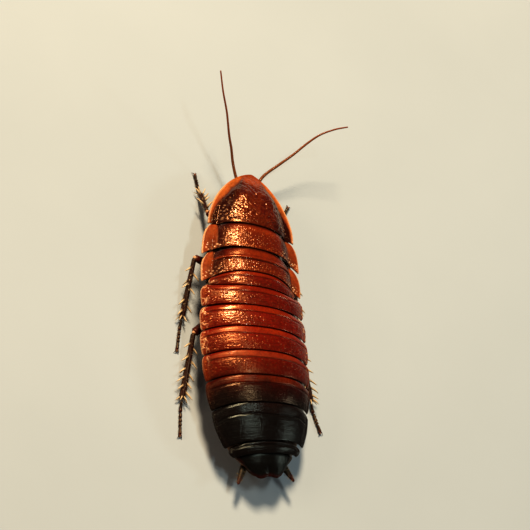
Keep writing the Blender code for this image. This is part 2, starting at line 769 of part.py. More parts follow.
def main():
    for old in list(bpy.data.objects):
        remove(old)
    bpy.context.scene.collection.children.link(bpy.data.collections.new("cockroach"))
    make_materials()
    make_body()
    head = make_head()
    cut_clear(head, part_collection().objects["pronotum"], part_collection().objects["prosternum"])
    make_face(head)
    for pair, sterna in COXA_MEETS.items():
        for side in ("left", "right"):
            make_leg(pair, side, sterna)
    make_cerci()
    settle_in_frame()


main()
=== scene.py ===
"""The looks of a life-size Madagascar hissing cockroach, modelled round its solids.

Sizes are in millimetres in the body's own frame until a mesh is made. A place on the body is side
(to the right of its axis), behind (back from the pronotum's front edge) and height (above the floor).
Every fine piece is built from grids of points, is closed, and stands for the solids of the same name.
In the surface functions relief is in millimetres, and amounts of colour and gloss go from 0 to 1.
"""

import math
import random
from collections import namedtuple
from types import SimpleNamespace

import bpy
import numpy as np
from mathutils import Matrix, Vector


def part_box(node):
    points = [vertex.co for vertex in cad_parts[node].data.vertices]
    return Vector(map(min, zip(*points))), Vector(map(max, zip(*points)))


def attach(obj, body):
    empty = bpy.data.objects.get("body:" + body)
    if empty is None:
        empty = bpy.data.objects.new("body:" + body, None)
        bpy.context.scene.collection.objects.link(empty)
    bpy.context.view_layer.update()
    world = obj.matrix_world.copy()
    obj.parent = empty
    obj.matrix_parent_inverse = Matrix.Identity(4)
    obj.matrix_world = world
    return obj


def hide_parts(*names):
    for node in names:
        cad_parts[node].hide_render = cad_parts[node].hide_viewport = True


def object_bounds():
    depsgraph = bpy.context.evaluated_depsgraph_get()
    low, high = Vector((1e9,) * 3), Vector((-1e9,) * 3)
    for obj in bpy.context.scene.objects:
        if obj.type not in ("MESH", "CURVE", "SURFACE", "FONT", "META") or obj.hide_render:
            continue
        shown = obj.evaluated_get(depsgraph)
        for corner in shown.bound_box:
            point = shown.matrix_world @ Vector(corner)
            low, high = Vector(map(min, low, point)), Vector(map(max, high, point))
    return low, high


MM = 0.001
FINE = 1.0

# Sizes repeated from the solids.
GAP = 0.3
BEND_CENTRE = 16.0
BEND_PER_MM = 0.004
PLEURA_BEHIND = (0.0, 6.0, 12.0, 26.0, 45.0, 58.0, 67.0)
PLEURA_HEIGHT = (5.7, 6.3, 6.6, 6.5, 5.9, 4.9, 4.2)
PLATE_BULGE = 0.35
EDGE = 0.65

# Plates: rear edge, half width and rise from the pleura there, reach of the rear corners, slot, material.
Plate = namedtuple("Plate", "rear half rise reach slot chitin", defaults=("shell_belly", "chitin"))
DORSAL = {
    "pronotum": Plate(14.6, 9.8, 4.0, 0.4, "shell_dark"),
    "mesonotum": Plate(20.3, 10.5, 4.4, 1.4, "shell_brown"),
    "metanotum": Plate(25.7, 11.0, 4.7, 2.2, "shell_brown"),
    "tergite_1": Plate(28.9, 9.4, 4.8, -0.5, "shell_red"),
    "tergite_2": Plate(33.1, 11.3, 5.0, 0.0, "shell_red"),
    "tergite_3": Plate(37.6, 11.6, 5.0, 0.6, "shell_red"),
    "tergite_4": Plate(42.5, 11.6, 5.0, 0.7, "shell_red", "late_chitin"),
    "tergite_5": Plate(47.4, 11.3, 4.85, 0.9, "shell_red", "late_chitin"),
    "tergite_6": Plate(52.7, 10.6, 4.4, 1.1, "shell_black", "dusk_chitin"),
    "tergite_7": Plate(59.9, 8.6, 3.4, 0.9, "shell_black", "dark_chitin"),
    "tergite_8_9": Plate(62.2, 7.0, 2.7, 0.3, "shell_black", "dark_chitin"),
}
FRONT_HALF = {"tergite_1": 9.2, "tergite_2": 10.9, "tergite_8_9": 7.9}
# How far in, and over what length, the rounding of each plate's front corners goes.
FRONT_ROUNDING = {
    "mesonotum": (0.9, 3.4),
    "metanotum": (1.5, 2.6),
    "tergite_1": (0.3, 1.0),
    "tergite_2": (1.8, 2.2),
    "tergite_3": (1.0, 1.5),
    "tergite_8_9": (1.5, 1.3),
}
USUAL_ROUNDING = (0.6, 1.1)
# How much wider than its solid a plate's rear edge is drawn, and how sharply its rear corners reach back.
REAR_WIDER = {"mesonotum": 0.6, "metanotum": 0.2}
CORNER_POWER = {"metanotum": 3.2}
USUAL_POWER = 5

# The shield, and the width of its amber flange at some distances behind its front.
OUTLINE_ALONG = 1.8
OUTLINE_ACROSS = 0.7
PRONOTUM_FRONT_HALF = 5.0
PRONOTUM_RISE = 2.3
BUMP_SIDE = 3.2
BUMP_BEHIND = 7.2
BUMP_HEIGHT = 0.45
BUMP_WIDTH = 1.9
FLANGE_BEHIND = (0.0, 7.5, 9.3, 12.2, 14.6)
FLANGE_WIDTH = (1.5, 1.5, 1.2, 0.75, 0.6)

# Marks of the plates: where the amber side lobe of each thorax plate begins at its front and its rear, the
# metanotum's cross ridge, the share of a tergite before its groove, and where the back turns red and black.
LOBE_SIDE = {"mesonotum": (7.5, 8.1), "metanotum": (8.3, 9.0)}
RIDGE_AT = 2.2
GROOVE_AT = 0.31
RED_FROM = (31.0, 36.0)
BLACK_FROM = (45.5, 53.5)

ANAL_REAR = 66.9
ANAL_FRONT_HALF = 6.2
ANAL_REAR_HALF = 4.1
ANAL_ROUNDING = 2.6
ANAL_NOTCH = 0.7

BELLY = {
    "prosternum": Plate(13.6, 5.9, 2.0, 0.0),
    "mesosternum": Plate(20.6, 7.5, 2.3, 0.0),
    "metasternum": Plate(27.0, 8.6, 2.4, 0.0),
    "sternite_2": Plate(33.3, 9.5, 2.7, 0.2),
    "sternite_3": Plate(37.9, 10.0, 3.5, 0.3),
    "sternite_4": Plate(42.8, 10.1, 4.1, 0.4),
    "sternite_5": Plate(47.7, 9.8, 4.2, 0.5),
    "sternite_6": Plate(53.0, 9.1, 3.8, 0.6),
    "sternite_7": Plate(65.4, 4.5, 1.5, 0.0),
}
BELLY_FRONT = Plate(7.4, 4.6, 1.6, 0.0)
BELLY_EDGE = 0.5
LAST_STERNITE_ROUNDING = 3.4

# The membrane along the flanks, from its front end to its rear one: the share of the plates' half width that
# it has, its half widths under the thorax, how far it stays inside the plates, and its spiracles.
MEMBRANE_FRONT = (7.1, 7.3, 7.7)
MEMBRANE_REAR = (63.4, 64.6, 65.3, 65.7)
MEMBRANE_WIDE = 0.9
MEMBRANE_THORAX = ((7.1, 14.0, 20.0), (4.6, 7.4, 9.2))
MEMBRANE_UNDER_BACK = 1.1
MEMBRANE_OVER_BELLY = 0.6
MEMBRANE_SIDES = 96
SPIRACLES_AHEAD = 1.6
SPIRACLE_RADII = (0.22, 0.42, 0.26)

HEAD_CENTRE = (0.0, 5.4, 3.95)
HEAD_RADII = (3.3, 1.9, 3.3)
HEAD_TILT_DEG = 24.0
EYE_CENTRE = (2.8, 4.7, 5.0)
EYE_RADII = (0.95, 1.1, 1.6)
LABRUM = ((0.0, 5.2, 1.55), (1.15, 0.55, 0.8))
MANDIBLE = ((1.35, 5.8, 1.75), (0.6, 0.75, 0.85))
MAXILLARY_PALP = ((1.6, 6.6, 2.0), (2.6, 6.1, 1.4), (3.0, 4.8, 1.5), (2.6, 3.6, 0.95))
LABIAL_PALP = ((0.8, 7.3, 1.9), (1.5, 7.5, 1.3), (1.7, 6.6, 0.8))
PALP_RADIUS = 0.34

ANTENNA_PATHS = {
    "left": ((-1.75, 2.4, 5.0), (-2.8, 1.2, 5.1), (-4.4, -1.4, 6.3), (-5.8, -3.7, 8.0), (-7.2, -5.6, 9.5),
             (-9.3, -9.0, 12.0), (-11.5, -12.1, 14.0), (-13.4, -15.4, 15.8)),
    "right": ((1.75, 2.4, 5.0), (3.1, -1.1, 5.6), (6.5, -5.2, 6.4), (8.9, -8.0, 7.5), (11.3, -11.2, 9.0),
              (13.4, -13.5, 10.5), (16.1, -15.4, 11.8), (18.9, -17.0, 12.5)),
}
SOCKETS = {"left": (-1.2, 4.2, 4.7), "right": (1.2, 4.2, 4.7)}
SOCKET_RADII = (0.72, 0.4, 0.72)
SCAPE_RADIUS = 0.55
FLAGELLUM_RADIUS = 0.38
FLAGELLUM_TIP_RADIUS = 0.16
FLAGELLUM_RINGS = 92
POINTS_PER_RING = 7
CERCUS_ROOT = (3.9, 63.0, 4.15)
CERCUS_TIP = (6.2, 67.0, 4.0)
CERCUS_RADIUS = 0.75

# Legs of the right side: root, trochanter, knee, ankle and toe. The left ones differ from the knee on.
LEGS = {
    "fore": ((3.8, 9.2, 4.5), (2.2, 14.2, 2.6), (8.6, 10.4, 3.6), (10.2, 5.4, 0.95), (11.8, 1.2, 0.42)),
    "mid": ((5.4, 16.4, 4.3), (2.7, 22.8, 2.6), (11.5, 21.4, 4.9), (12.9, 32.2, 0.95), (14.3, 38.0, 0.42)),
    "hind": ((5.9, 24.2, 4.2), (3.0, 31.2, 2.3), (12.0, 36.6, 3.6), (14.9, 48.8, 0.95), (16.3, 55.2, 0.42)),
}
KNEE = 2
LEFT_SHIFT = {
    "fore": ((-0.2, -0.4), (-1.2, -0.8), (-1.4, -0.9)),
    "mid": ((0.0, 0.4), (-0.1, 1.2), (-0.4, 1.6)),
    "hind": ((-0.4, 0.6), (-0.9, 0.9), (-1.3, 1.1)),
}
# Leg segments: radius on each leg, its shares along the segment, flattening, rows, how much its brown and
# its red are brightened, redness at the far end, red patches (strength, number, seed), gloss, sides of the
# tube, height of its ridges, and how many, how long and how upright its bristles are.
Segment = namedtuple(
    "Segment", "radius shares flat rows brown red end_red patches gloss sides ridge bristles")
SEGMENTS = {
    "coxa": Segment({"fore": 1.75, "mid": 2.05, "hind": 2.25}, (0.5, 0.85, 1.0, 1.0, 0.9, 0.65, 0.4),
                    0.6, 70, 1.6, 0.8, 0.0, (0.7, 7, 31), 0.6, 36, 0.035, (18, 0.35, 0.9)),
    "femur": Segment({"fore": 1.05, "mid": 1.15, "hind": 1.3}, (0.5, 0.82, 1.0, 1.0, 0.92, 0.74, 0.62),
                     0.68, 80, 1.0, 0.7, 0.8, (0.3, 8, 33), 0.65, 28, 0.04, (26, 0.4, 0.7)),
    "tibia": Segment({"fore": 0.52, "mid": 0.56, "hind": 0.62}, (0.8, 0.85, 0.95, 1.0, 1.1, 1.0),
                     0.85, 80, 1.0, 0.6, 0.0, (0.5, 9, 35), 0.65, 22, 0.05, (60, 0.45, 0.6)),
}
KNEE_RADII = (0.42, 0.42, 0.36)
SPINE_COUNT = {"fore": 6, "mid": 9, "hind": 12}
SPINE_LENGTH = (1.2, 1.8)
SPINE_RADIUS = 0.26
SPINE_LEAN_DEG = 48.0
SPINE_ROWS_DEG = (70.0, -70.0, 165.0)
SPINE_STRETCH = 1.3
SPUR_ROWS_DEG = (-100.0, -35.0, 35.0, 100.0)
SPUR_START = 0.75
SPUR_LEAN_DEG = 43.0
SPUR_THINNER = 0.75
FEMUR_SPINES = 5
FEMUR_SPINE_RADIUS = 0.11
FINE_SPINE_LENGTH = (0.35, 0.6)
FINE_SPINE_RADIUS = 0.07
FINE_SPINE_LEAN_DEG = 50
TARSOMERES = (0.34, 0.16, 0.13, 0.11, 0.26)
TARSUS_RADIUS = 0.43
CLAW_LENGTH = 0.95
# How low spines and bristles may come, and how far inside the box of the solids they stay.
LOWEST_SPINE = 0.3
LOWEST_BRISTLE = 0.12
BOX_MARGIN = 0.1

# Thickness of the fine shells, the step down from one plate's rear lip to the next plate, and how far
# forward each plate goes on, hidden under the one before it.
SHELL = 0.26
STEP = 0.29
HIDDEN = 1.3

# Colours in linear light.
# CREAM is also painted as glints on the margin ridges and on scattered bumps.
CREAM = np.array((0.64, 0.34, 0.18))
ORANGE = np.array((0.34, 0.044, 0.005))
COPPER = np.array((0.32, 0.052, 0.008))
# GOLD is also painted as glints on the tops of grains and folds.
GOLD = np.array((0.55, 0.135, 0.018))
MAHOGANY = np.array((0.090, 0.0042, 0.0012))
RED = np.array((0.19, 0.0070, 0.0018))
# DEEP is also painted shade at the plates' rear lips, on the strips under them, and in grooves and cracks.
DEEP = np.array((0.022, 0.002, 0.001))
MAROON = np.array((0.045, 0.005, 0.002))
BLACK = np.array((0.0050, 0.0038, 0.0030))
LEG_BROWN = np.array((0.018, 0.007, 0.004))
FEELER_BROWN = np.array((0.15, 0.042, 0.012))
SPINE_GOLD = np.array((0.56, 0.40, 0.24))
MEMBRANE = np.array((0.20, 0.085, 0.035))
FLOOR_COLOURS = ((0.37, 0.395, 0.435, 1), (0.42, 0.445, 0.49, 1))
FLOOR_ROUGHNESS = 0.75
FLOOR_REACH_M = 1.5

# Materials: bump size and strength, roughness at full and at no gloss, coat, tint and level of the shine.
LOOKS = {
    "chitin": (9000.0, 0.12, (0.13, 0.85), 0.15, (1.0, 0.44, 0.18), 0.55),
    "late_chitin": (9000.0, 0.12, (0.14, 0.8), 0.02, (1.0, 0.44, 0.18), 0.5),
    "leg_chitin": (9000.0, 0.12, (0.24, 0.5), 0.0, (1.0, 0.7, 0.45), 0.3),
    "dusk_chitin": (9000.0, 0.12, (0.14, 0.38), 0.0, (1.0, 0.6, 0.35), 0.3),
    "dark_chitin": (9000.0, 0.2, (0.09, 0.34), 0.0, (0.95, 0.98, 0.88), 0.19),
    "membrane": (5000.0, 0.6, (0.35, 0.6), 0.0, (1.0, 0.8, 0.6), 0.5),
    "eye": (16000.0, 0.35, (0.12, 0.2), 0.1, (1.0, 0.9, 0.8), 0.4),
}
CHITIN_IOR = 1.55
COAT_ROUGHNESS = 0.09
BUMP_DEPTH_M = 0.00006

# The photograph's view: the body turned and tilted to the camera, and a mark on it with its place there.
CAMERA_TURN_DEG = 23.2
CAMERA_TILT_DEG = 28.3
LENS = 100.0
SENSOR = 36.0
FRAME_PIXELS = 530
PIXELS_PER_MM = 5.01
MARK = (0.0, 33.0, 8.0)
MARK_PIXEL = (251.9, 311.2)

# Softboxes: direction and distance in metres from the middle of the model, size, power and colour.
LIGHTS = {
    "key": ((-0.24, 0.58, 0.78), 0.9, (0.15, 0.23), 10.0, (1.0, 0.83, 0.56)),
    "side": ((-0.88, 0.05, 0.42), 0.9, (0.28, 0.48), 1.7, (1.0, 0.83, 0.58)),
    "top": ((0.09, 0.04, 1.0), 0.45, (0.015, 0.12), 0.34, (0.82, 0.97, 0.92)),
    "right": ((0.84, -0.05, 0.54), 0.45, (0.06, 0.06), 0.2, (0.82, 0.97, 0.92)),
}
MODEL_MIDDLE_M = Vector((0, -0.01, 0.008))
STUDIO_COLOUR = (0.86, 0.87, 0.90, 1)
STUDIO_LEVEL = 0.05
# A deep, saturated print: brighter by part of a stop, then darker in the shadows.
EXPOSURE = 0.58
CONTRAST_GAMMA = 0.78


def ease(value, low, high):
    """0 below low, 1 above high, and smooth between them."""
    share = np.clip((value - low) / (high - low), 0, 1)
    return share * share * (3 - 2 * share)


def fade(value, low, high):
    """1 below low, 0 above high, and smooth between them."""
    return 1 - ease(value, low, high)


def bell(value, width):
    """1 where the value is 0, and falling off on both sides of it."""
    return np.exp(-((value / width) ** 2))


def hump(share):
    """0 at 0 and at 1, and 1 half way."""
    return np.sin(math.pi * np.clip(share, 0, 1))


def wavy(value, period, wander):
    return np.sin(2 * math.pi * (value / period + wander))


def ridges(cloud, sharpness, level=1):
    """Highest along the lines where a cloud of noise passes its middle value."""
    return np.clip(level - np.abs(2 * cloud - 1) * sharpness, 0, 1)


def mix(first, second, share):
    share = np.asarray(share)[..., None]
    return first * (1 - share) + second * share


def painted(tint, *coats):
    """The tint with coats of colour over it in turn, each with its strength."""
    for colour, strength in coats:
        tint = mix(tint, colour, strength)
    return tint


def hashed(column, row, seed):
    """A number from 0 to 1 for each whole-numbered cell."""
    key = (column.astype(np.int64) * 73856093) ^ (row.astype(np.int64) * 19349663) ^ (seed * 83492791)
    key = (key ^ (key >> 13)) * 1274126177 & 0xFFFFFFFF
    key = (key ^ (key >> 15)) * 2246822519 & 0xFFFFFFFF
    return ((key ^ (key >> 13)) & 0xFFFF) / 65535


def noise(across, along, seed):
    """Smooth noise from 0 to 1 with features one unit wide."""
    column, row = np.floor(across), np.floor(along)
    u, v = across - column, along - row
    u, v = u * u * (3 - 2 * u), v * v * (3 - 2 * v)
    near = hashed(column, row, seed) * (1 - u) + hashed(column + 1, row, seed) * u
    far = hashed(column, row + 1, seed) * (1 - u) + hashed(column + 1, row + 1, seed) * u
    return near * (1 - v) + far * v


def layered(across, along, seed):
    """Three layers of noise, from 0 to 1."""
    total = 0.57 * noise(across, along, seed) + 0.29 * noise(across * 2.1, along * 2.1, seed + 1)
    return total + 0.14 * noise(across * 4.3, along * 4.3, seed + 2)


def seed_of(name):
    return sum(map(ord, name))


def clouds_over(side, behind, seed):
    """Layered noise over a plate, by the width and length of its features and a number of its own."""
    return lambda wide, long, number=0: layered(side / wide, behind / long, seed + number)


def granules(across, along, size, seed, spread=0.42):
    """Round grains from 0 to 1 scattered one to a cell, and a number for each grain."""
    across, along = across / size, along / size
    best = np.full(across.shape, 9.0)
    kind = np.zeros(across.shape)
    for step_across in (-1, 0, 1):
        for step_along in (-1, 0, 1):
            column, row = np.floor(across) + step_across, np.floor(along) + step_along
            far_across = column + 0.2 + 0.6 * hashed(column, row, seed) - across
            far_along = row + 0.2 + 0.6 * hashed(column, row, seed + 1) - along
            scale = 0.75 + 0.5 * hashed(column, row, seed + 2)
            away = np.hypot(far_across, far_along) / scale
            kind = np.where(away < best, hashed(column, row, seed + 3), kind)
            best = np.minimum(best, away)
    return np.clip(1 - (best / spread) ** 2, 0, 1), kind


def scattered(across, along, size, seed):
    """Sparse round beads from 0 to 1, in no rows."""
    turned_across, turned_along = 0.83 * across + 0.56 * along, 0.83 * along - 0.56 * across
    glinting_beads, kind = granules(turned_across, turned_along, size, seed, spread=0.36)
    return glinting_beads * ease(kind, 0.15, 0.35)


def speckle(side, behind, seed):
    """A light and dark mottling to multiply a colour by."""
    return (0.8 + 0.4 * layered(side / 1.3, behind / 1.3, seed))[..., None]


def on_body(side, behind, height):
    """Points of the body, with its bend, in millimetres."""
    side, behind, height = np.broadcast_arrays(side, behind, height)
    turn = BEND_PER_MM * (behind - BEND_CENTRE)
    x = turn * (behind - BEND_CENTRE) / 2 + side * np.cos(turn)
    return np.stack([x, -behind + side * np.sin(turn), height], axis=-1).astype(float)


def mirrored(point, side):
    return on_body(point[0] if side == "right" else -point[0], point[1], point[2])


def pleura(behind):
    """The height at which the back and belly plates meet."""
    return np.interp(behind, PLEURA_BEHIND, PLEURA_HEIGHT)


def abdomen_arch(across):
    return np.clip(1 - np.abs(across) ** 2.2, 0, 1) ** 0.85


def thorax_arch(across):
    dome = np.clip(1 - (np.abs(across) / 0.8) ** 2.4, 0, 1) ** 0.85
    return 0.7 * dome + 0.3 * (1 - across**2)


def arch_of(name):
    return thorax_arch if name.endswith("notum") else abdomen_arch


def rear_line(plate, side, power=USUAL_POWER):
    """How far back a plate's rear edge is, reaching further back towards its corners."""
    return plate.rear + plate.reach * np.minimum(1.2, np.abs(side) / plate.half) ** power


def linked(name, data):
    """A new object of this data, in the scene."""
    made = bpy.data.objects.new(name, data)
    bpy.context.scene.collection.objects.link(made)
    return made


class Piece:
    """Gathers closed grids of points, each with a strip of the bake map, into one mesh."""

    def __init__(self):
        self.points, self.tints, self.glosses = [], [], []
        self.faces, self.maps = {4: [], 3: []}, {4: [], 3: []}
        self.count = 0

    def add(self, grid, tint, gloss=0.5, split=None):
        """Adds rings of points as a closed tube. A split ring is a shell, outer points then inner ones."""
        rows, columns = grid.shape[:2]
        tint = np.broadcast_to(tint, grid.shape)
        gloss = np.broadcast_to(gloss, grid.shape[:2])
        index = np.arange(rows * columns).reshape(rows, columns)
        index = np.concatenate([index, index[:, :1]], axis=1)
        u, v = np.meshgrid(np.linspace(0, 1, columns + 1), np.linspace(0.08, 0.92, rows))
        place = np.stack([u, v], axis=-1)
        fours = np.stack([index[:-1, :-1], index[:-1, 1:], index[1:, 1:], index[1:, :-1]], axis=-1)
        on_map = np.stack([place[:-1, :-1], place[:-1, 1:], place[1:, 1:], place[1:, :-1]], axis=-2)
        points, tints, glosses = [grid.reshape(-1, 3)], [tint.reshape(-1, 3)], [gloss.ravel()]
        threes, threes_on_map = [], []
        total = rows * columns
        for row, edge in ((0, 0.0), (rows - 1, 1.0)):
            if split:
                fan, fan_map = zipped(index[row, :split], index[row, split:columns][::-1], v[row, 0], edge)
            else:
                fan = [(index[row, k], index[row, k + 1], total) for k in range(columns)]
                fan_map = [(place[row, k], place[row, k + 1], (u[0, k], edge)) for k in range(columns)]
                points.append(grid[row].mean(axis=0)[None])
                tints.append(tint[row].mean(axis=0)[None])
                glosses.append(gloss[row].mean()[None])
                total += 1
            way = 1 if row else -1
            threes.append(np.array(fan)[:, ::way])
            threes_on_map.append(np.array(fan_map)[:, ::way])
        points = np.concatenate(points)
        faces = {4: fours.reshape(-1, 4), 3: np.concatenate(threes)}
        maps = {4: on_map.reshape(-1, 4, 2), 3: np.concatenate(threes_on_map)}
        way = -1 if volume(points, faces[4], faces[3]) < 0 else 1
        for sides in faces:
            self.faces[sides].append(faces[sides][:, ::way] + self.count)
            self.maps[sides].append(maps[sides][:, ::way])
        self.points.append(points)
        self.tints.append(np.concatenate(tints))
        self.glosses.append(np.concatenate(glosses))
        self.count += total

    def bake_map(self):
        """The bake map of all faces, its height shared among the grids by the square root of their size."""
        weight = np.array([math.sqrt(len(points)) for points in self.points])
        edges = np.concatenate([[0], np.cumsum(weight) / weight.sum()])
        corners = []
        for maps in self.maps.values():
            for low, high, on_map in zip(edges, edges[1:], maps):
                on_map = on_map * (0.996, 1) + (0.002, 0)
                strip = np.stack([on_map[..., 0], low + (high - low) * on_map[..., 1]], axis=-1)
                corners.append(strip.reshape(-1, 2))
        return np.concatenate(corners)

    def finish(self, name, look, fresh=False):
        """Makes the object and rides it on the body. Unless fresh, it stands for the solid of its name."""
        points = (np.concatenate(self.points) + SHIFT) * MM
        fours, threes = (np.concatenate(faces) for faces in self.faces.values())
        node, name = name, name if fresh else f"fine_{name}"
        data = bpy.data.meshes.new(name)
        data.vertices.add(len(points))
        data.vertices.foreach_set("co", points.ravel())
        loops = np.concatenate([fours.ravel(), threes.ravel()])
        starts = np.concatenate([np.arange(len(fours)) * 4, len(fours) * 4 + np.arange(len(threes)) * 3])
        data.loops.add(len(loops))
        data.loops.foreach_set("vertex_index", loops.astype(np.int32))
        data.polygons.add(len(starts))
        data.polygons.foreach_set("loop_start", starts.astype(np.int32))
        data.update(calc_edges=True)
        bake_map = data.uv_layers.new(name="OFBake")
        bake_map.uv.foreach_set("vector", self.bake_map().astype(np.float32).ravel())
        colours = np.c_[np.concatenate(self.tints), np.ones(len(points))]
        for attribute, kind, field, values in (
            ("tint", "FLOAT_COLOR", "color", colours),
            ("gloss", "FLOAT", "value", np.concatenate(self.glosses)),
        ):
            layer = data.attributes.new(attribute, kind, "POINT")
            layer.data.foreach_set(field, values.astype(np.float32).ravel())
        data.validate()
        data.materials.append(MATERIALS[look])
        data.shade_smooth()
        made = linked(name, data)
        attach(made, "root")
        if not fresh:
            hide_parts(node)


def zipped(first, second, level, edge):
    """Triangles between two rows of a shell's end, which share their first and last directions."""
    faces, on_map = [], []
    a = b = 0
    while a < len(first) - 1 or b < len(second) - 1:
        share_a, share_b = a / (len(first) - 1), b / (len(second) - 1)
        ahead_a = (a + 1) / (len(first) - 1) if a < len(first) - 1 else 9
        ahead_b = (b + 1) / (len(second) - 1) if b < len(second) - 1 else 9
        if ahead_a <= ahead_b:
            faces.append((first[a], first[a + 1], second[b]))
            on_map.append(((share_a, level), (ahead_a, level), (share_b, edge)))
            a += 1
        else:
            faces.append((first[a], second[b + 1], second[b]))
            on_map.append(((share_a, level), (ahead_b, edge), (share_b, edge)))
            b += 1
    return faces, on_map


def volume(points, fours, threes):
    """Six times the volume inside the faces, negative where they face inwards."""
    faces = np.concatenate([fours[:, :3], fours[:, [0, 2, 3]], threes])
    a, b, c = (points[faces[:, k]] for k in range(3))
    return float(np.einsum("ij,ij->i", a, np.cross(b, c)).sum())


def make_plate(name, p, lift, surface, look, way=1, step=4):
    """A plate with one closed shell, its face lift above the pleura, or below it where way is -1.

    Its rims are rounded, and the relief is on its outer side. The inner side has every step-th column.
    """
    relief, tint, gloss = surface
    grid = on_body(p.side, p.behind, pleura(p.behind) + way * (GAP / 2 + lift))
    normal = np.cross(np.gradient(grid, axis=0), np.gradient(grid, axis=1))
    normal /= np.maximum(np.linalg.norm(normal, axis=-1, keepdims=True), 1e-9)
    if normal[normal.shape[0] // 2, normal.shape[1] // 2, 2] * way < 0:
        normal = -normal
    rounding = 1 - np.clip(np.minimum(p.margin, p.ahead) / (SHELL / 2), 0, 1)
    rounding = np.maximum(np.sqrt(1 - rounding**2), 0.12)[..., None]
    middle = grid - normal * (SHELL / 2)
    outer = middle + normal * (SHELL / 2 + relief[..., None]) * rounding
    picked = np.unique(np.r_[0, np.arange(0, grid.shape[1], step), grid.shape[1] - 1])[::-1]
    inner = (middle - normal * (SHELL / 2) * rounding)[:, picked]
    piece = Piece()
    piece.add(
        np.concatenate([outer, inner], axis=1),
        np.concatenate([tint, np.broadcast_to(MEMBRANE * 0.5, inner.shape)], axis=1),
        np.concatenate([gloss, np.full(inner.shape[:2], 0.3)], axis=1),
        split=grid.shape[1],
    )
    piece.finish(name, look)


def spread_across(count):
    """Evenly numbered places from -1 to 1, closer together near the ends."""
    even = np.linspace(-1, 1, count)
    return 0.6 * even + 0.4 * np.sin(even * math.pi / 2)


def lip_rows(length):
    """Close rows round the rear lip of a plate of this length."""
    return length - SHELL / 2 * (1 - np.sin(np.linspace(0, math.pi / 2, 6)))


def plate_grid(columns, length, spacing):
    """Places across a plate, and along it: hidden rows before 0, even rows, and close ones at the lip."""
    hidden = np.linspace(-HIDDEN, -0.15, 5)
    shown = np.linspace(0, length - SHELL, max(6, int(length / spacing)))
    along = np.concatenate([hidden, shown, lip_rows(length)]) / length
    return np.meshgrid(spread_across(columns), along)


def lengthwise(along, start, end, length):
    return start + np.where(along < 0, length, end - start) * along


def step_down(along, over, power, hidden, late=0.0):
    """How far a plate lies under the one before it: deepest at its front, and none further back."""
    rising = (STEP - late) * np.clip(along / over, 0, 1) ** power
    return -STEP + rising + late * ease(along, 0.3, 0.8) + np.clip(along, -1, 0) * hidden


def flat_corners(across, along, over):
    """A share that takes a plate's step away at its sides, past its front corners."""
    return np.maximum(np.clip(1 - np.abs(across), 0, 1) ** 0.3, fade(along, 0.0, over))


def plate_places(before_name, name):
    """Each point's places on a dorsal plate, and its rise before the plate's own steps."""
    before, plate = DORSAL[before_name], DORSAL[name]
    front_half = FRONT_HALF.get(name, before.half)
    length = plate.rear - before.rear
    across, along = plate_grid(int(plate.half * 32 * FINE), length, 0.075 / FINE)
    shown = np.clip(along, 0, 1)
    wide = front_half + (plate.half + REAR_WIDER.get(name, 0) - front_half) * shown
    wide += PLATE_BULGE * np.sin(math.pi * shown**0.8)
    rounding, over = FRONT_ROUNDING.get(name, USUAL_ROUNDING)
    left = 1 - np.clip(along * length / over, 0, 1)
    wide -= rounding * (1 - np.sqrt(1 - left**2)) + 0.25 * np.clip(-along, 0, 1)
    wide -= 0.3 * (1 - np.sqrt(1 - (1 - np.clip((1 - along) * length / 0.7, 0, 1)) ** 2))
    side = across * wide
    start = rear_line(before, side, CORNER_POWER.get(before_name, USUAL_POWER))
    end = rear_line(plate, side, CORNER_POWER.get(name, USUAL_POWER))
    behind = lengthwise(along, start, end, length)
    height = arch_of(name)(across)
    if arch_of(before_name) is not arch_of(name):
        hidden = arch_of(before_name)(np.clip(side / before.half, -1, 1))
        height = np.where(along < 0, np.minimum(height, hidden), height)
    rise = EDGE + (before.rise + (plate.rise - before.rise) * shown - EDGE) * height
    return SimpleNamespace(side=side, behind=behind, past=behind - start, ahead=end - behind, along=along,
                           across=across, margin=(1 - np.abs(across)) * wide * 1.25), rise


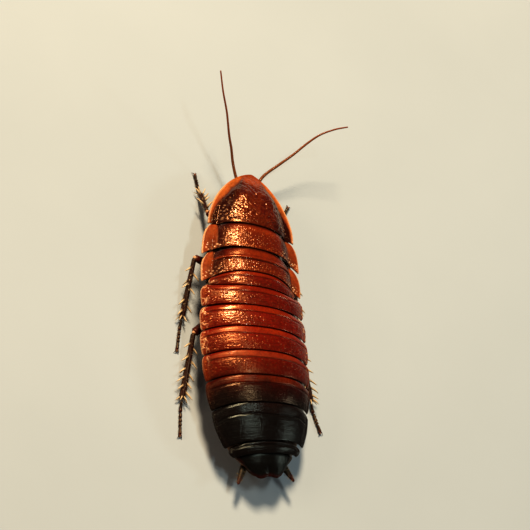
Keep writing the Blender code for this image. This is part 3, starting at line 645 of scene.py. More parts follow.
def tergite_surface(name, p):
    """Relief, colour and gloss of an abdominal plate: smooth band, groove, granular field, pale margin."""
    side, behind, margin, past, ahead = p.side, p.behind, p.margin, p.past, p.ahead
    seed = seed_of(name)
    cloud = clouds_over(side, behind, seed)
    length = past + ahead
    groove_at = (GROOVE_AT + 0.05 * (layered(side / 2.5, behind * 0 + seed, seed) - 0.5)) * length
    from_groove = past - groove_at
    rear_end = ease(behind + 3 * (cloud(3, 3) - 0.5), *BLACK_FROM)
    calm = 1 - 0.75 * ease(behind, 43.0, 48.5)
    grains, kind = granules(side, behind, 0.52, seed)
    grains = grains * (0.1 + 0.9 * ease(kind, 0.45, 0.95))
    fine = granules(side, behind, 0.2, seed + 9)[0]
    cracks = ridges(cloud(1.5, 0.42, 11), 2.2) ** 2
    band = fade(from_groove, -0.25, 0.15) * ease(past, 0.0, 0.35)
    lobe = ease(margin, 0.15, 0.4) * fade(margin, 1.8, 3.0) * ease(past, 0.5, 1.2)
    field = ease(from_groove, 0.12, 0.5) * ease(ahead, 0.02, 0.25)
    field = np.maximum(field * (0.5 + 0.5 * cloud(1.6, 1.6, 4)), lobe)
    warp = 0.8 * noise(side / 0.8, behind / 0.8, seed + 16)
    # Ridges near the margin: raised in relief, and coloured cream below as painted glints.
    glint_cloud = layered((0.85 * side + 0.5 * behind) / 0.8 + warp, (0.85 * behind - 0.5 * side) / 1.5, seed + 12)
    glint_ridges = ridges(glint_cloud, 7, 1.1) * fade(margin, 0.9, 1.8) * fade(behind, 43.0, 48.0)
    glint_ridges = glint_ridges * ease(past, 0.2, 0.6) * ease(ahead, 0.1, 0.4)

    relief = -0.12 * bell(from_groove, 0.16) * ease(margin, 0.6, 1.8)
    relief += 0.01 * hump(past / groove_at) + 0.03 * hump(from_groove / (length - groove_at))
    if name == "tergite_2":
        relief -= 0.08 * np.clip(past / groove_at, 0, 1) * fade(from_groove, 0.0, 0.3)
    relief += field * (0.085 * grains - 0.035 * cracks) * calm + 0.014 * fine * (0.06 + 0.7 * field) * calm
    relief += 0.04 * lobe * cloud(0.5, 0.9, 15) + 0.09 * glint_ridges + 0.09 * bell(margin - 0.4, 0.3)
    relief += 0.012 * rear_end * wavy(past, 0.5, 1.6 * cloud(1.6, 1.6, 17)) * cloud(0.8, 0.8, 18)
    waves = wavy(past, 1.1, 0.5 * cloud(3, 3, 13)) * cloud(2, 2, 14)
    relief += 0.012 * rear_end * waves * ease(from_groove, 0.2, 0.8)
    relief += 0.006 * wavy(past, 0.34, 1.3 * cloud(4, 2, 5)) * (1 - field * (1 - rear_end))

    tint = mix(MAHOGANY, RED, 0.1 + 0.3 * ease(behind, *RED_FROM) + 0.3 * band + 0.3 * cloud(2, 2, 6))
    tint = tint * (1 - 0.35 * ease(behind, 38.0, 47.0) - 0.35 * ease(behind, 46.5, 48.5))[..., None]
    tint = painted(
        tint,
        # Painted glints: gold on the tops of the field's grains.
        (GOLD * 0.6, 0.28 * field * grains * calm),
        # Painted shade in the sunken cracks.
        (DEEP, 0.5 * field * cracks * calm),
        (ORANGE, 0.45 * band * fade(np.abs(side), 6.0, 11.0) * cloud(3, 1, 7)),
        # Painted shade in the cross groove.
        (DEEP, 0.7 * bell(from_groove, 0.12) * ease(margin, 0.5, 1.5)),
        (ORANGE * 0.7, 0.35 * fade(margin, 0.3, 1.4)),
        # Painted glints: gold on the grains of the margin lobe.
        (GOLD, 0.3 * grains * lobe * calm),
        # Pale rim along the margin, and painted glints in cream along the ridges near it.
        (CREAM, np.maximum(0.7 * fade(margin, 0.1, 0.4), 0.8 * glint_ridges) * fade(behind, 42.0, 48.0)),
        # Painted shade along the rear lip, where it rolls under over the next plate.
        (DEEP, 0.8 * fade(ahead, 0.0, 0.09)),
        (BLACK, 0.97 * rear_end),
    )
    dull = 0.22 * ease(behind, 37.0, 39.5) + 0.25 * ease(behind, 42.0, 44.5)
    gloss = 0.88 - 0.12 * field - 0.25 * rear_end - (dull * (1 - rear_end) + 0.12 * rear_end) * band
    return relief, tint * speckle(side, behind, seed), gloss


def notum_surface(name, p):
    """Relief, colour and gloss of the two rear thorax plates: amber side lobes beside a granular disc."""
    side, behind, margin, past, ahead = p.side, p.behind, p.margin, p.past, p.ahead
    seed = seed_of(name)
    cloud = clouds_over(side, behind, seed)
    front_lobe, rear_lobe = LOBE_SIDE[name]
    from_lobe = front_lobe + (rear_lobe - front_lobe) * p.along - np.abs(side)
    lobe = fade(from_lobe, -0.6, 0.2)
    grains, kind = granules(side, behind, 0.46, seed)
    grains = grains * (0.2 + 0.8 * ease(kind, 0.25, 0.9))
    fine = granules(side, behind, 0.22, seed + 9)[0]
    # Scattered bumps near the rear edge; their cream colour below is a painted glint on each.
    glinting_beads = scattered(side, behind, 0.66, seed + 21)
    glinting_beads = glinting_beads * ease(ahead, 0.1, 0.3) * fade(ahead, 1.2, 2.2) * fade(from_lobe, 1.2, 3.2)
    rear_row = ease(ahead, 0.05, 0.25) * fade(ahead, 0.55, 1.1)
    disc = ease(from_lobe, 0.0, 0.8) * ease(past, 0.3, 1.4)
    fold, ridge_coats = 0.05 * hump(past / 3.0), ()
    if name == "metanotum":
        ridge = past - RIDGE_AT
        fold = 0.08 * bell(ridge, 0.25) - 0.16 * bell(ridge - 0.45, 0.16)
        # Painted highlight along the top of the cross ridge, and painted shade in the groove behind it.
        ridge_coats = ((ORANGE, 0.35 * bell(ridge, 0.22) * (1 - lobe)),
                       (DEEP, 0.8 * bell(ridge - 0.45, 0.16) * (1 - lobe)))
        disc = disc * ease(ridge, 0.5, 0.9) * 0.9 + 0.35 * disc * cloud(1.5, 1.5)
        rear_row = rear_row * (0.6 + 0.4 * lobe)
    dark_zone = ease(from_lobe, -0.3, 0.4) * fade(from_lobe, 1.1, 2.6)
    field = np.maximum(np.maximum(disc, 0.9 * rear_row), 0.8 * dark_zone * ease(past, 0.4, 1.2))
    field = field * (1 - fade(from_lobe, -0.5, 0.1) * (1 - rear_row))

    relief = fold * (1 - lobe) - 0.10 * bell(from_lobe, 0.35) * ease(past, 0.1, 0.6)
    relief += 0.07 * (cloud(1.3, 0.45, 3) - 0.5) * disc
    relief += 0.08 * field * grains + 0.014 * fine * (0.06 + 0.7 * field) + 0.07 * glinting_beads
    relief += 0.05 * lobe * hump(margin / 2.6) + 0.07 * bell(margin - 0.3, 0.2)

    tint = painted(
        # A little gold over the disc, and more on the grain tops as painted glints.
        mix(MAHOGANY, GOLD * 0.7, disc * (0.05 + 0.25 * grains)),
        (ORANGE * 0.8, 0.4 * fade(past, 1.2, 2.4) * fade(np.abs(side), 3.0, 7.0)),
        (MAROON * 0.8, 0.95 * dark_zone * (1 - 0.4 * grains)),
        (ORANGE * 0.62, 0.92 * lobe),
        (GOLD * 0.7, 0.25 * lobe * ease(margin, 0.8, 2.0) * fade(p.along, 0.1, 0.7)),
        (MAROON, 0.8 * lobe * ease(p.along, 0.3, 0.95) * ease(margin, 0.6, 2.2)),
        # Painted glints: gold on the grains of the row along the rear edge.
        (GOLD, 0.5 * rear_row * grains),
        # Painted shade in the groove at the inner edge of the lobe.
        (DEEP, 0.85 * bell(from_lobe, 0.16)),
        *ridge_coats,
        # Pale rim along the margin, and painted glints in cream on the scattered bumps.
        (CREAM, np.maximum(0.85 * fade(margin, 0.15, 0.55), 0.8 * glinting_beads)),
        # Painted shade along the rear lip.
        (DEEP, 0.8 * fade(ahead, 0.0, 0.09)),
        # Painted shade on the front strip, under the lip of the plate before.
        (DEEP, 0.85 * fade(past, 0.1, 0.75) * (1 - lobe)),
    )
    return relief, tint * speckle(side, behind, seed), 0.88 - 0.68 * lobe - 0.08 * field


def make_dorsal_plate(before_name, name):
    """A plate of the back. Its front drops to pass under the plate before it, its rear is a raised lip."""
    p, rise = plate_places(before_name, name)
    steps = step_down(p.along, 0.45, 0.75, 0.25, late=0.1) * flat_corners(p.across, p.along, 0.22)
    surface = notum_surface if name.endswith("notum") else tergite_surface
    relief, tint, gloss = surface(name, p)
    relief = relief * ease(p.along, -0.05, 0.03)
    plate = DORSAL[name]
    make_plate(name, p, np.maximum(rise + steps, 0.24), (relief, tint, gloss), plate.chitin)


def outline(behind):
    """Half the width of the shield at this place behind its front."""
    left = np.clip(1 - behind / DORSAL["pronotum"].rear, 0, 1) ** OUTLINE_ALONG
    return DORSAL["pronotum"].half * (1 - left) ** OUTLINE_ACROSS


def outline_front(side):
    """How far behind the shield's front its outline starts at this side."""
    share = np.clip(np.abs(side) / DORSAL["pronotum"].half, 0, 1) ** (1 / OUTLINE_ACROSS)
    return DORSAL["pronotum"].rear * (1 - (1 - share) ** (1 / OUTLINE_ALONG))


def pronotum_places(columns, rows):
    """Each point's places on the shield, and its rise."""
    plate = DORSAL["pronotum"]
    start = (1 - np.cos(np.linspace(0, math.pi / 2, 9)))[:-1] * 0.03
    shown = np.linspace(0.03, 1 - SHELL / plate.rear, rows)
    along = np.concatenate([start, shown, lip_rows(plate.rear) / plate.rear])
    across, along = np.meshgrid(spread_across(columns), along)
    front = outline_front(PRONOTUM_FRONT_HALF * across)
    edge_start = outline_front(np.array(PRONOTUM_FRONT_HALF))
    side = outline(edge_start + (plate.rear - edge_start) * along) * across
    end = rear_line(plate, side)
    behind = front + (end - front) * along
    to_side = outline(np.minimum(behind, plate.rear)) - np.abs(side)
    to_front = behind - outline_front(side)
    margin = 1 / np.sqrt(1 / np.maximum(to_side, 0.003) ** 2 + 1 / np.maximum(to_front, 0.003) ** 2)
    crown = plate.rise * (1 - (1 - np.clip(behind / plate.rear, 0, 1)) ** PRONOTUM_RISE)
    arch = thorax_arch(np.clip(np.abs(side) / np.maximum(outline(behind), 0.05), 0, 1))
    bumps = BUMP_HEIGHT * bell(np.hypot(np.abs(side) - BUMP_SIDE, behind - BUMP_BEHIND), BUMP_WIDTH)
    rise = EDGE + np.maximum(0, crown - EDGE) * arch + bumps
    return SimpleNamespace(side=side, behind=behind, margin=margin, ahead=end - behind), rise


def pronotum_surface(p):
    """Relief, colour and gloss of the shield: amber flange, pale copper front, dark wrinkled disc."""
    side, behind, margin, ahead = p.side, p.behind, p.margin, p.ahead
    cloud = clouds_over(side, behind, 0)
    out = np.abs(side)
    flank = ease(out, 1.4, 3.6)
    from_flange = margin - np.interp(behind, FLANGE_BEHIND, FLANGE_WIDTH) * flank
    from_flange = from_flange + 0.5 * (cloud(1.1, 1.1, 33) - 0.5)
    flange = flank * fade(from_flange, -0.5, 0.1)
    beside = flank * fade(from_flange, 0.8, 2.4)
    disc = ease(from_flange, 0.0, 1.2)
    before_lip = ease(ahead, 0.35, 0.9)
    cos_turn, sin_turn = math.cos(0.75), math.sin(0.75)
    slant = (out * cos_turn + behind * sin_turn) / 0.75 + 0.8 * noise(side / 1.2, behind / 1.2, 5)
    length = (behind * cos_turn - out * sin_turn) / 1.4
    right = ease(side, -0.7, 0.7)
    wrinkles = layered(slant, length, 3) * (1 - right) + layered(slant + 7, length, 4) * right
    folds = ridges(wrinkles, 1.6) ** 1.5
    grains = granules(side, behind, 0.34, 17)[0]
    knobs = granules(side + 0.3 * folds, behind, 0.85, 18, spread=0.5)[0]
    fine = granules(side, behind, 0.18, 19)[0]
    pebbles = disc * ease(out, 4.0, 7.0) * before_lip
    # Scattered bumps on the shield's flanks; their pale colour below is a painted glint on each.
    glinting_pearls = scattered(side, behind, 0.7, 31) * pebbles
    front = fade(behind + 0.25 * out, 2.4, 5.2)
    shallow = 1 - 0.75 * ease(behind, 6.0, 9.0)

    relief = (0.11 * folds + 0.05 * knobs) * disc * before_lip * (1 - 0.6 * ease(out, 5.5, 8.0))
    relief += 0.05 * grains * (0.3 * disc + 0.2 * pebbles) * before_lip + 0.010 * fine * disc
    relief += 0.05 * glinting_pearls + 0.07 * folds * front * ease(margin, 0.3, 1.2) * (1 - disc)
    relief += flank * (0.10 * bell(margin, 0.4) - shallow * 0.12 * bell(from_flange, 0.3))
    relief -= flank * (1 - shallow) * 0.24 * bell(from_flange - 1.3, 0.7) + 0.06 * bell(ahead - 0.75, 0.15)

    amber = mix(ORANGE * 0.7, GOLD * 0.65, 0.7 * fade(behind, 7.0, 11.0))
    tint = painted(
        # Painted highlights: the base is lighter along the tops of the folds, and the next coat adds gold
        # there.
        mix(MAROON, MAHOGANY, 0.2 + 0.3 * folds * disc + 0.4 * cloud(2, 2, 23)),
        (GOLD * 0.7, 0.12 * folds * disc * fade(out, 3.0, 7.0)),
        (MAROON * 0.5, 0.85 * ease(out, 3.6, 5.4) * disc),
        # Painted glints: cream on the scattered bumps.
        (CREAM * 0.7, 0.6 * glinting_pearls),
        (COPPER, (0.45 + 0.35 * folds) * front),
        (DEEP, 0.85 * flank * bell(from_flange - 0.55, 0.45)),
        (amber * (0.65 + 0.6 * cloud(0.7, 0.9, 34))[..., None], 0.92 * flange),
        (GOLD * 0.8, 0.6 * flank * fade(margin, 0.2, 0.9)),
        (CREAM, 0.8 * ease(out, 4.0, 7.5) * fade(margin, 0.15, 0.5)),
        # Painted shade along the rear lip, widening the dark line before the next plate.
        (DEEP, 0.7 * fade(ahead, 0.05, 0.3)),
    )
    tint = tint * speckle(side, behind, 29)
    tint = mix(tint, MAROON * 0.5, 0.7 * beside * ease(from_flange, -0.1, 0.3) * (1 - glinting_pearls))
    gloss = 0.88 - 0.6 * flange + 0.03 * beside * disc - 0.2 * glinting_pearls - 0.3 * front * (1 - flank)
    return relief, tint, gloss


def make_pronotum():
    p, rise = pronotum_places(int(240 * FINE), int(150 * FINE))
    make_plate("pronotum", p, rise, pronotum_surface(p), "chitin")


def make_anal_plate():
    """The supra-anal plate: a rounded flap with a notch at its rear."""
    before = DORSAL["tergite_8_9"]
    length = ANAL_REAR - before.rear
    across, along = plate_grid(int(130 * FINE), length, 0.1 / FINE)
    shown = np.clip(along, 0, 1)
    wide = ANAL_FRONT_HALF + (ANAL_REAR_HALF - ANAL_FRONT_HALF) * shown**1.4
    side = across * wide
    end = ANAL_REAR - ANAL_ROUNDING * np.abs(across) ** 3 - ANAL_NOTCH * bell(across, 0.36)
    behind = lengthwise(along, rear_line(before, side), end, length)
    p = SimpleNamespace(side=side, behind=behind, margin=(1 - np.abs(across)) * wide, ahead=end - behind)
    rise = 0.6 + np.clip(before.rise + (1.2 - before.rise) * shown - 0.6, 0, 9) * abdomen_arch(across)
    rise += step_down(along, 0.4, 0.7, 0.2)
    grains, fine = granules(side, behind, 0.3, 77)[0], granules(side, behind, 0.16, 78)[0]
    relief = (0.03 * grains + 0.012 * fine) * ease(shown, 0.15, 0.4)
    relief -= 0.12 * bell(side, 0.5) * ease(shown, 0.35, 0.9)
    tint = mix(BLACK, MAHOGANY * 0.6, 0.35 * fade(np.minimum(p.margin, p.ahead), 0.2, 0.9))
    surface = relief, tint * speckle(side, behind, 79), np.full(side.shape, 0.5)
    make_plate("supra_anal_plate", p, np.maximum(rise, 0.26), surface, "dark_chitin")


def make_belly_plate(before, name):
    """A glossy plate of the underside, its rear lip over the front of the next plate."""
    plate = BELLY[name]
    last = name == "sternite_7"
    length = plate.rear - before.rear
    across, along = plate_grid(int(plate.half * 12 * FINE) + 20, length, 0.2 / FINE)
    shown = np.clip(along, 0, 1)
    side = across * (before.half + (plate.half - before.half) * (shown**2.2 if last else shown))
    end = rear_line(plate, side) - (LAST_STERNITE_ROUNDING * np.abs(across) ** 3 if last else 0)
    behind = lengthwise(along, rear_line(before, side), end, length)
    margin, ahead = (1 - np.abs(across)) * plate.half, end - behind
    depth = before.rise + (plate.rise - before.rise) * shown
    down = BELLY_EDGE + (depth - BELLY_EDGE) * abdomen_arch(across)
    steps = step_down(along, 0.4, 0.75, 0.2) * flat_corners(across, along, 0.25)
    seed = seed_of(name)
    cloud = clouds_over(side, behind, seed)
    relief = 0.012 * granules(side, behind, 0.3, seed)[0] + 0.02 * (cloud(1.2, 0.5) - 0.5)
    tint = painted(
        mix(MAHOGANY * 0.5, BLACK, ease(cloud(4, 3, 1), 0.35, 0.75)),
        (RED * 0.8, 0.5 * fade(margin, 0.3, 2.0)),
        # Painted shade along the rear lip.
        (DEEP * 0.7, 0.8 * fade(ahead, 0.05, 0.3)),
        (MEMBRANE, 0.4 * fade(ahead - 0.3, 0.0, 0.5) * ease(ahead, 0.1, 0.3)),
    )
    p = SimpleNamespace(side=side, behind=behind, margin=margin, ahead=ahead)
    surface = relief, tint, np.full(side.shape, 0.6)
    make_plate(name, p, np.maximum(down + steps, 0.12), surface, plate.chitin, way=-1, step=3)


def make_membrane():
    """The soft skin between back and belly plates, folded along the flanks, with a spiracle a segment."""
    behind = np.concatenate([MEMBRANE_FRONT, np.linspace(8.4, 62, int(150 * FINE)), MEMBRANE_REAR])
    rears = [0.0] + [plate.rear for plate in DORSAL.values()]
    halves = [5.0] + [10.6 if name == "tergite_1" else plate.half for name, plate in DORSAL.items()]
    half = MEMBRANE_WIDE * np.interp(behind, rears, halves)
    thorax = behind < MEMBRANE_THORAX[0][-1]
    half[thorax] = np.interp(behind[thorax], *MEMBRANE_THORAX)
    crown = np.interp(behind, rears, [0.9] + [plate.rise for plate in DORSAL.values()]) - MEMBRANE_UNDER_BACK
    bellies = [BELLY_FRONT, *BELLY.values()]
    depth = np.interp(behind, [plate.rear for plate in bellies], [plate.rise for plate in bellies])
    depth -= MEMBRANE_OVER_BELLY
    taper = np.sqrt(np.clip((behind - 7.0) / 1.5, 0, 1)) * np.sqrt(np.clip((65.8 - behind) / 4.0, 0, 1))
    around = np.linspace(0, 2 * math.pi, MEMBRANE_SIDES, endpoint=False)
    across, along = np.meshgrid(np.cos(around), behind)
    upper = np.sin(around)[None, :] >= 0
    lift = np.where(upper, np.maximum(crown, 0.2)[:, None], -np.maximum(depth, 0.2)[:, None])
    steep = np.where(upper, 3.2 - 2.1 * ease(behind, 26.0, 30.0)[:, None], 1.1)
    height = lift * np.abs(np.sin(around))[None, :] ** steep * taper[:, None]
    folds = 0.10 * (layered(along / 0.8, height / 0.35 + 40, 51) - 0.5)
    side = across * (half * taper)[:, None] + np.sign(across) * folds
    piece = Piece()
    tint = mix(MEMBRANE, DEEP, layered(along / 1.1, height / 0.7 + 9, 52))
    piece.add(on_body(side, along, pleura(along) + height), tint, 0.35)
    piece.finish("pleural_membrane", "membrane", fresh=True)
    spiracles = Piece()
    for name in ("metanotum", "tergite_1", "tergite_2", "tergite_3", "tergite_4", "tergite_5", "tergite_6"):
        place = DORSAL[name].rear - SPIRACLES_AHEAD
        for way in (-1, 1):
            out = way * (MEMBRANE_WIDE * float(np.interp(place, rears, halves)) - 0.05)
            centre = on_body(out, place, pleura(place) - 0.1)
            ball(spiracles, centre, SPIRACLE_RADII, DEEP * 0.6, 0.6, 12, 10, dimple=0.5)
    spiracles.finish("spiracles", "chitin", fresh=True)


def globe(rows, columns, pole):
    """Rings of a unit ball: how far along its axis each point is, and in two directions across it."""
    polar, around = np.meshgrid(np.linspace(pole, math.pi - pole, rows),
                                np.linspace(0, 2 * math.pi, columns, endpoint=False), indexing="ij")
    return np.cos(polar), np.sin(polar) * np.cos(around), np.sin(polar) * np.sin(around)


def ball(piece, centre, radii, tint, gloss=0.5, rows=24, columns=32, dimple=0.0):
    """An ellipsoid round centre, with its poles across the body, and a dimple at the poles if asked."""
    x, y, z = globe(rows, columns, 0.08)
    x = x * (1 - dimple * bell(np.hypot(y, z), 0.5))
    piece.add(np.stack([x, y, z], axis=-1) * np.array(radii) + np.asarray(centre), tint, gloss)


def smooth_path(waypoints, count):
    """Evenly numbered points on a Catmull-Rom curve through the waypoints."""
    points = np.array(waypoints, float)
    points = np.concatenate([[2 * points[0] - points[1]], points, [2 * points[-1] - points[-2]]])
    where = np.linspace(0, len(points) - 3, count)
    span = np.minimum(where.astype(int), len(points) - 4)
    t = (where - span)[:, None]
    a, b, c, d = (points[span + k] for k in range(4))
    return 0.5 * (2 * b + (c - a) * t + (2 * a - 5 * b + 4 * c - d) * t**2 + (3 * b - a - 3 * c + d) * t**3)


def tube(piece, path, wide, high, tint, gloss=0.5, sides=16, up=(0, 0, 1), ridge=0.0):
    """A closed tube along the path, wide across up and high along it."""
    path = np.asarray(path, float)
    along = np.gradient(path, axis=0)
    along /= np.linalg.norm(along, axis=1, keepdims=True)
    up = np.broadcast_to(np.asarray(up, float), path.shape)
    up = up - (up * along).sum(axis=1, keepdims=True) * along
    up /= np.linalg.norm(up, axis=1, keepdims=True)
    out = np.cross(along, up)
    turn = np.linspace(0, 2 * math.pi, sides, endpoint=False)
    bulge = 1 + ridge * np.cos(2 * turn) ** 8
    wide = np.broadcast_to(wide, len(path))[:, None, None]
    high = np.broadcast_to(high, len(path))[:, None, None]
    ring = np.cos(turn)[None, :, None] * out[:, None] * wide
    ring = ring + np.sin(turn)[None, :, None] * up[:, None] * high
    grid = path[:, None] + ring * bulge[None, :, None]
    tint = np.asarray(tint, float)
    if tint.ndim == 2:
        tint = np.repeat(tint[:, None], sides, axis=1)
    piece.add(grid, tint, gloss)
    return grid


def rounded(share, over, least):
    """Closes a tube's radii round at both ends."""
    return np.sqrt(np.clip(np.minimum(share, 1 - share) / over, least, 1))


def swell(shares, count):
    """Radii read smoothly from a short list, closing round at both ends."""
    radii = np.interp(np.linspace(0, len(shares) - 1, count), range(len(shares)), shares)
    radii = np.convolve(np.pad(radii, 3, mode="edge"), np.ones(7) / 7, mode="valid")
    return radii * rounded(np.linspace(0, 1, count), 0.035, 0.02)


def unit(vector):
    return vector / max(np.linalg.norm(vector), 1e-6)


def spine(piece, root, tip, radius, draw):
    """A curved spine that tapers to a point, dark at its root."""
    tip = np.clip(tip, LOWEST, HIGHEST)
    bow = np.array((draw.uniform(-0.04, 0.04), draw.uniform(-0.04, 0.04), draw.uniform(0.04, 0.1)))
    share = np.linspace(0, 1, 7)[:, None]
    path = root + (tip - root) * share + np.sin(share * math.pi) * bow * np.linalg.norm(tip - root)
    thin = radius * (1 - share[:, 0]) ** 0.65 + 0.018
    tint = mix(LEG_BROWN * 2, SPINE_GOLD, ease(share[:, 0], 0.05, 0.45))
    tube(piece, path, thin, thin, tint, 0.6, sides=7, up=unit(np.cross(tip - root, (0, 0, 1))))


def hairs(piece, grid, count, length, draw, lean, tint=SPINE_GOLD * 0.7):
    """Fine bristles that stand out of a tube's surface and lean towards its far end."""
    total_rows, total_columns = grid.shape[:2]
    axis = grid.mean(axis=1)
    for _ in range(count):
        row = int(draw.uniform(0.05, 0.95) * (total_rows - 2))
        root = grid[row, draw.randrange(total_columns)]
        out = unit(root - axis[row])
        way = out * math.sin(lean) + unit(axis[row + 1] - axis[row]) * math.cos(lean)
        tip = root + way * length * draw.uniform(0.6, 1.1)
        if tip[2] < LOWEST_BRISTLE or (tip < LOWEST).any() or (tip > HIGHEST).any():
            continue
        thin = np.array((0.05, 0.036, 0.012)) * min(0.5, length)
        tube(piece, np.linspace(root - out * 0.03, tip, 3), thin, thin, tint, 0.4, sides=4, up=(0.1, 0.3, 1))


def leg_points(pair, side):
    points = []
    for step, (out, behind, height) in enumerate(LEGS[pair]):
        if side == "left" and step >= KNEE:
            out += LEFT_SHIFT[pair][step - KNEE][0]
            behind += LEFT_SHIFT[pair][step - KNEE][1]
        points.append(mirrored((out, behind, height), side))
    return points


def turned(vector, axis, degrees):
    return np.array(Matrix.Rotation(math.radians(degrees), 3, Vector(axis)) @ Vector(vector))


def limb(piece, start, end, wide, shares, flat, tint, **looks):
    """A leg segment's closed tube, swollen as its shares say and a little flattened."""
    count = len(tint)
    radii = wide * swell(shares, count)
    return tube(piece, np.linspace(start, end, count), radii, radii * flat, tint, **looks)


def adorn_femur(piece, trochanter, knee, wide, draw):
    """The hinge at its root, the pale ball of its knee, and a row of small spines beneath."""
    hinge = np.linspace(trochanter, knee, int(SEGMENTS["femur"].rows * FINE))[4]
    ball(piece, hinge, (wide * 0.5, wide * 0.5, wide * 0.4), LEG_BROWN * 1.5, 0.6, 14, 18)
    along = unit(knee - trochanter)
    ball(piece, knee - along * 0.1, KNEE_RADII, CREAM * 0.8, 0.4, 14, 18)
    down = turned((0, 0, -1), along, 12)
    for step in range(FEMUR_SPINES):
        root = trochanter + (knee - trochanter) * (0.42 + 0.11 * step) + down * wide * 0.45
        spine(piece, root, root + (down + along * 1.1) * draw.uniform(0.4, 0.6), FEMUR_SPINE_RADIUS, draw)


def add_spines(piece, knee, ankle, wide, count, same, draw):
    """The tibia's spines and spurs, placed by the draws that place the solid's, and finer ones between."""
    along = unit(ankle - knee)
    top = unit(np.array((0.0, 0.0, 1.0)) - along * along[2])

    def grow(start, row, lean_deg, length, radius):
        out = turned(top, along, row)
        lean = math.radians(lean_deg)
        root = start + out * wide * 0.3
        tip = root + (along * math.cos(lean) + out * math.sin(lean)) * (length + wide * 0.5)
        tip[2] = max(tip[2], LOWEST_SPINE)
        spine(piece, root, tip, radius, draw)

    for step in range(count):
        at = 0.16 + 0.7 * (step + same.uniform(-0.2, 0.2)) / (count - 1)
        row = SPINE_ROWS_DEG[step % 3 if at < 0.6 else step % 2]
        length = same.uniform(*SPINE_LENGTH) * SPINE_STRETCH
        row += same.uniform(-12, 12)
        grow(knee + (ankle - knee) * at, row, SPINE_LEAN_DEG, length, SPINE_RADIUS)
    for row in SPUR_ROWS_DEG:
        start, length = ankle - along * SPUR_START, same.uniform(*SPINE_LENGTH)
        grow(start, row, SPUR_LEAN_DEG, length, SPINE_RADIUS * SPUR_THINNER)
    for step in range(count):
        start, row = knee + (ankle - knee) * (0.2 + 0.7 * step / count), draw.uniform(-150, 150)
        grow(start, row, FINE_SPINE_LEAN_DEG, draw.uniform(*FINE_SPINE_LENGTH), FINE_SPINE_RADIUS)


def make_segment(kind, pair, side, start, end, draw):
    """A coxa, femur or tibia: its swollen tube, with its joints or spines, and its bristles."""
    segment = SEGMENTS[kind]
    name = f"{pair}_{kind}_{side}"
    share = np.linspace(0, 1, int(segment.rows * FINE))
    strength, patches, seed = segment.patches
    ruddy = segment.end_red * ease(share, 0.75, 1.0) + strength * layered(share * patches, share * 0, seed)
    tint = mix(LEG_BROWN * segment.brown, MAHOGANY * segment.red, ruddy)
    piece = Piece()
    grid = limb(piece, start, end, segment.radius[pair], segment.shares, segment.flat, tint,
                gloss=segment.gloss, sides=segment.sides, ridge=segment.ridge)
    if kind == "femur":
        adorn_femur(piece, start, end, segment.radius[pair], draw)
    if kind == "tibia":
        add_spines(piece, start, end, segment.radius[pair], SPINE_COUNT[pair], random.Random(name), draw)
    count, length, lean = segment.bristles
    hairs(piece, grid, count, length, draw, lean)
    piece.finish(name, "leg_chitin")


def make_tarsus(name, ankle, toe, draw):
    """Five tarsomeres with pale pads beneath, two curved claws and the pad between them."""
    piece = Piece()
    share = np.linspace(0, 1, 61)
    path = ankle + (toe - ankle) * share[:, None]
    path[:, 2] = ankle[2] + (toe[2] - 0.02 - ankle[2]) * np.minimum(1.0, share / 0.25)
    along = unit(toe - ankle)
    joints = np.concatenate([[0.03], 0.03 + np.cumsum(TARSOMERES) * 0.97])
    rise = np.linspace(0, 1, 16)
    radii = TARSUS_RADIUS * (0.62 + 0.34 * rise) * rounded(rise, 0.1, 0.05)
    tint = mix(LEG_BROWN, MAHOGANY * 0.8, 0.6 * ease(rise, 0.6, 1.0))
    for start, end in zip(joints, joints[1:]):
        inner = np.linspace(start, end - 0.004, 16)
        points = np.stack([np.interp(inner, share, path[:, k]) for k in range(3)], axis=-1)
        grid = tube(piece, points, radii * 0.92, radii * 0.88, tint, 0.6, sides=16)
        hairs(piece, grid, 12, 0.4, draw, 0.5)
        if end < 0.97:
            pad = points[-3] - (0, 0, TARSUS_RADIUS * 0.5)
            pad[2] = max(pad[2], 0.17)
            ball(piece, pad, (0.24, 0.26, 0.15), CREAM * 0.55, 0.3, 12, 14)
    across = unit(np.cross(along, (0, 0, 1)))
    thin = np.linspace(0.16, 0.03, 14)
    tint = mix(MAHOGANY, BLACK, np.linspace(0, 1, 14))
    for way in (-1, 1):
        reach = toe + along * CLAW_LENGTH * 0.8 + across * way * 0.5
        bend = toe + along * 0.3 + across * way * 0.26 + (0, 0, 0.12)
        claw = smooth_path((toe - along * 0.2 + across * way * 0.1, bend, (*reach[:2], 0.09)), 14)
        tube(piece, claw, thin, thin, tint, 0.8, sides=8)
    ball(piece, toe + along * 0.2 - (0, 0, 0.1), (0.2, 0.3, 0.16), CREAM * 0.5, 0.3, 12, 14)
    piece.finish(name, "leg_chitin")


def make_leg(pair, side):
    points = leg_points(pair, side)
    draw = random.Random(f"{pair} {side}")
    for kind, start, end in zip(SEGMENTS, points, points[1:]):
        make_segment(kind, pair, side, start, end, draw)
    make_tarsus(f"{pair}_tarsus_{side}", *points[-2:], draw)


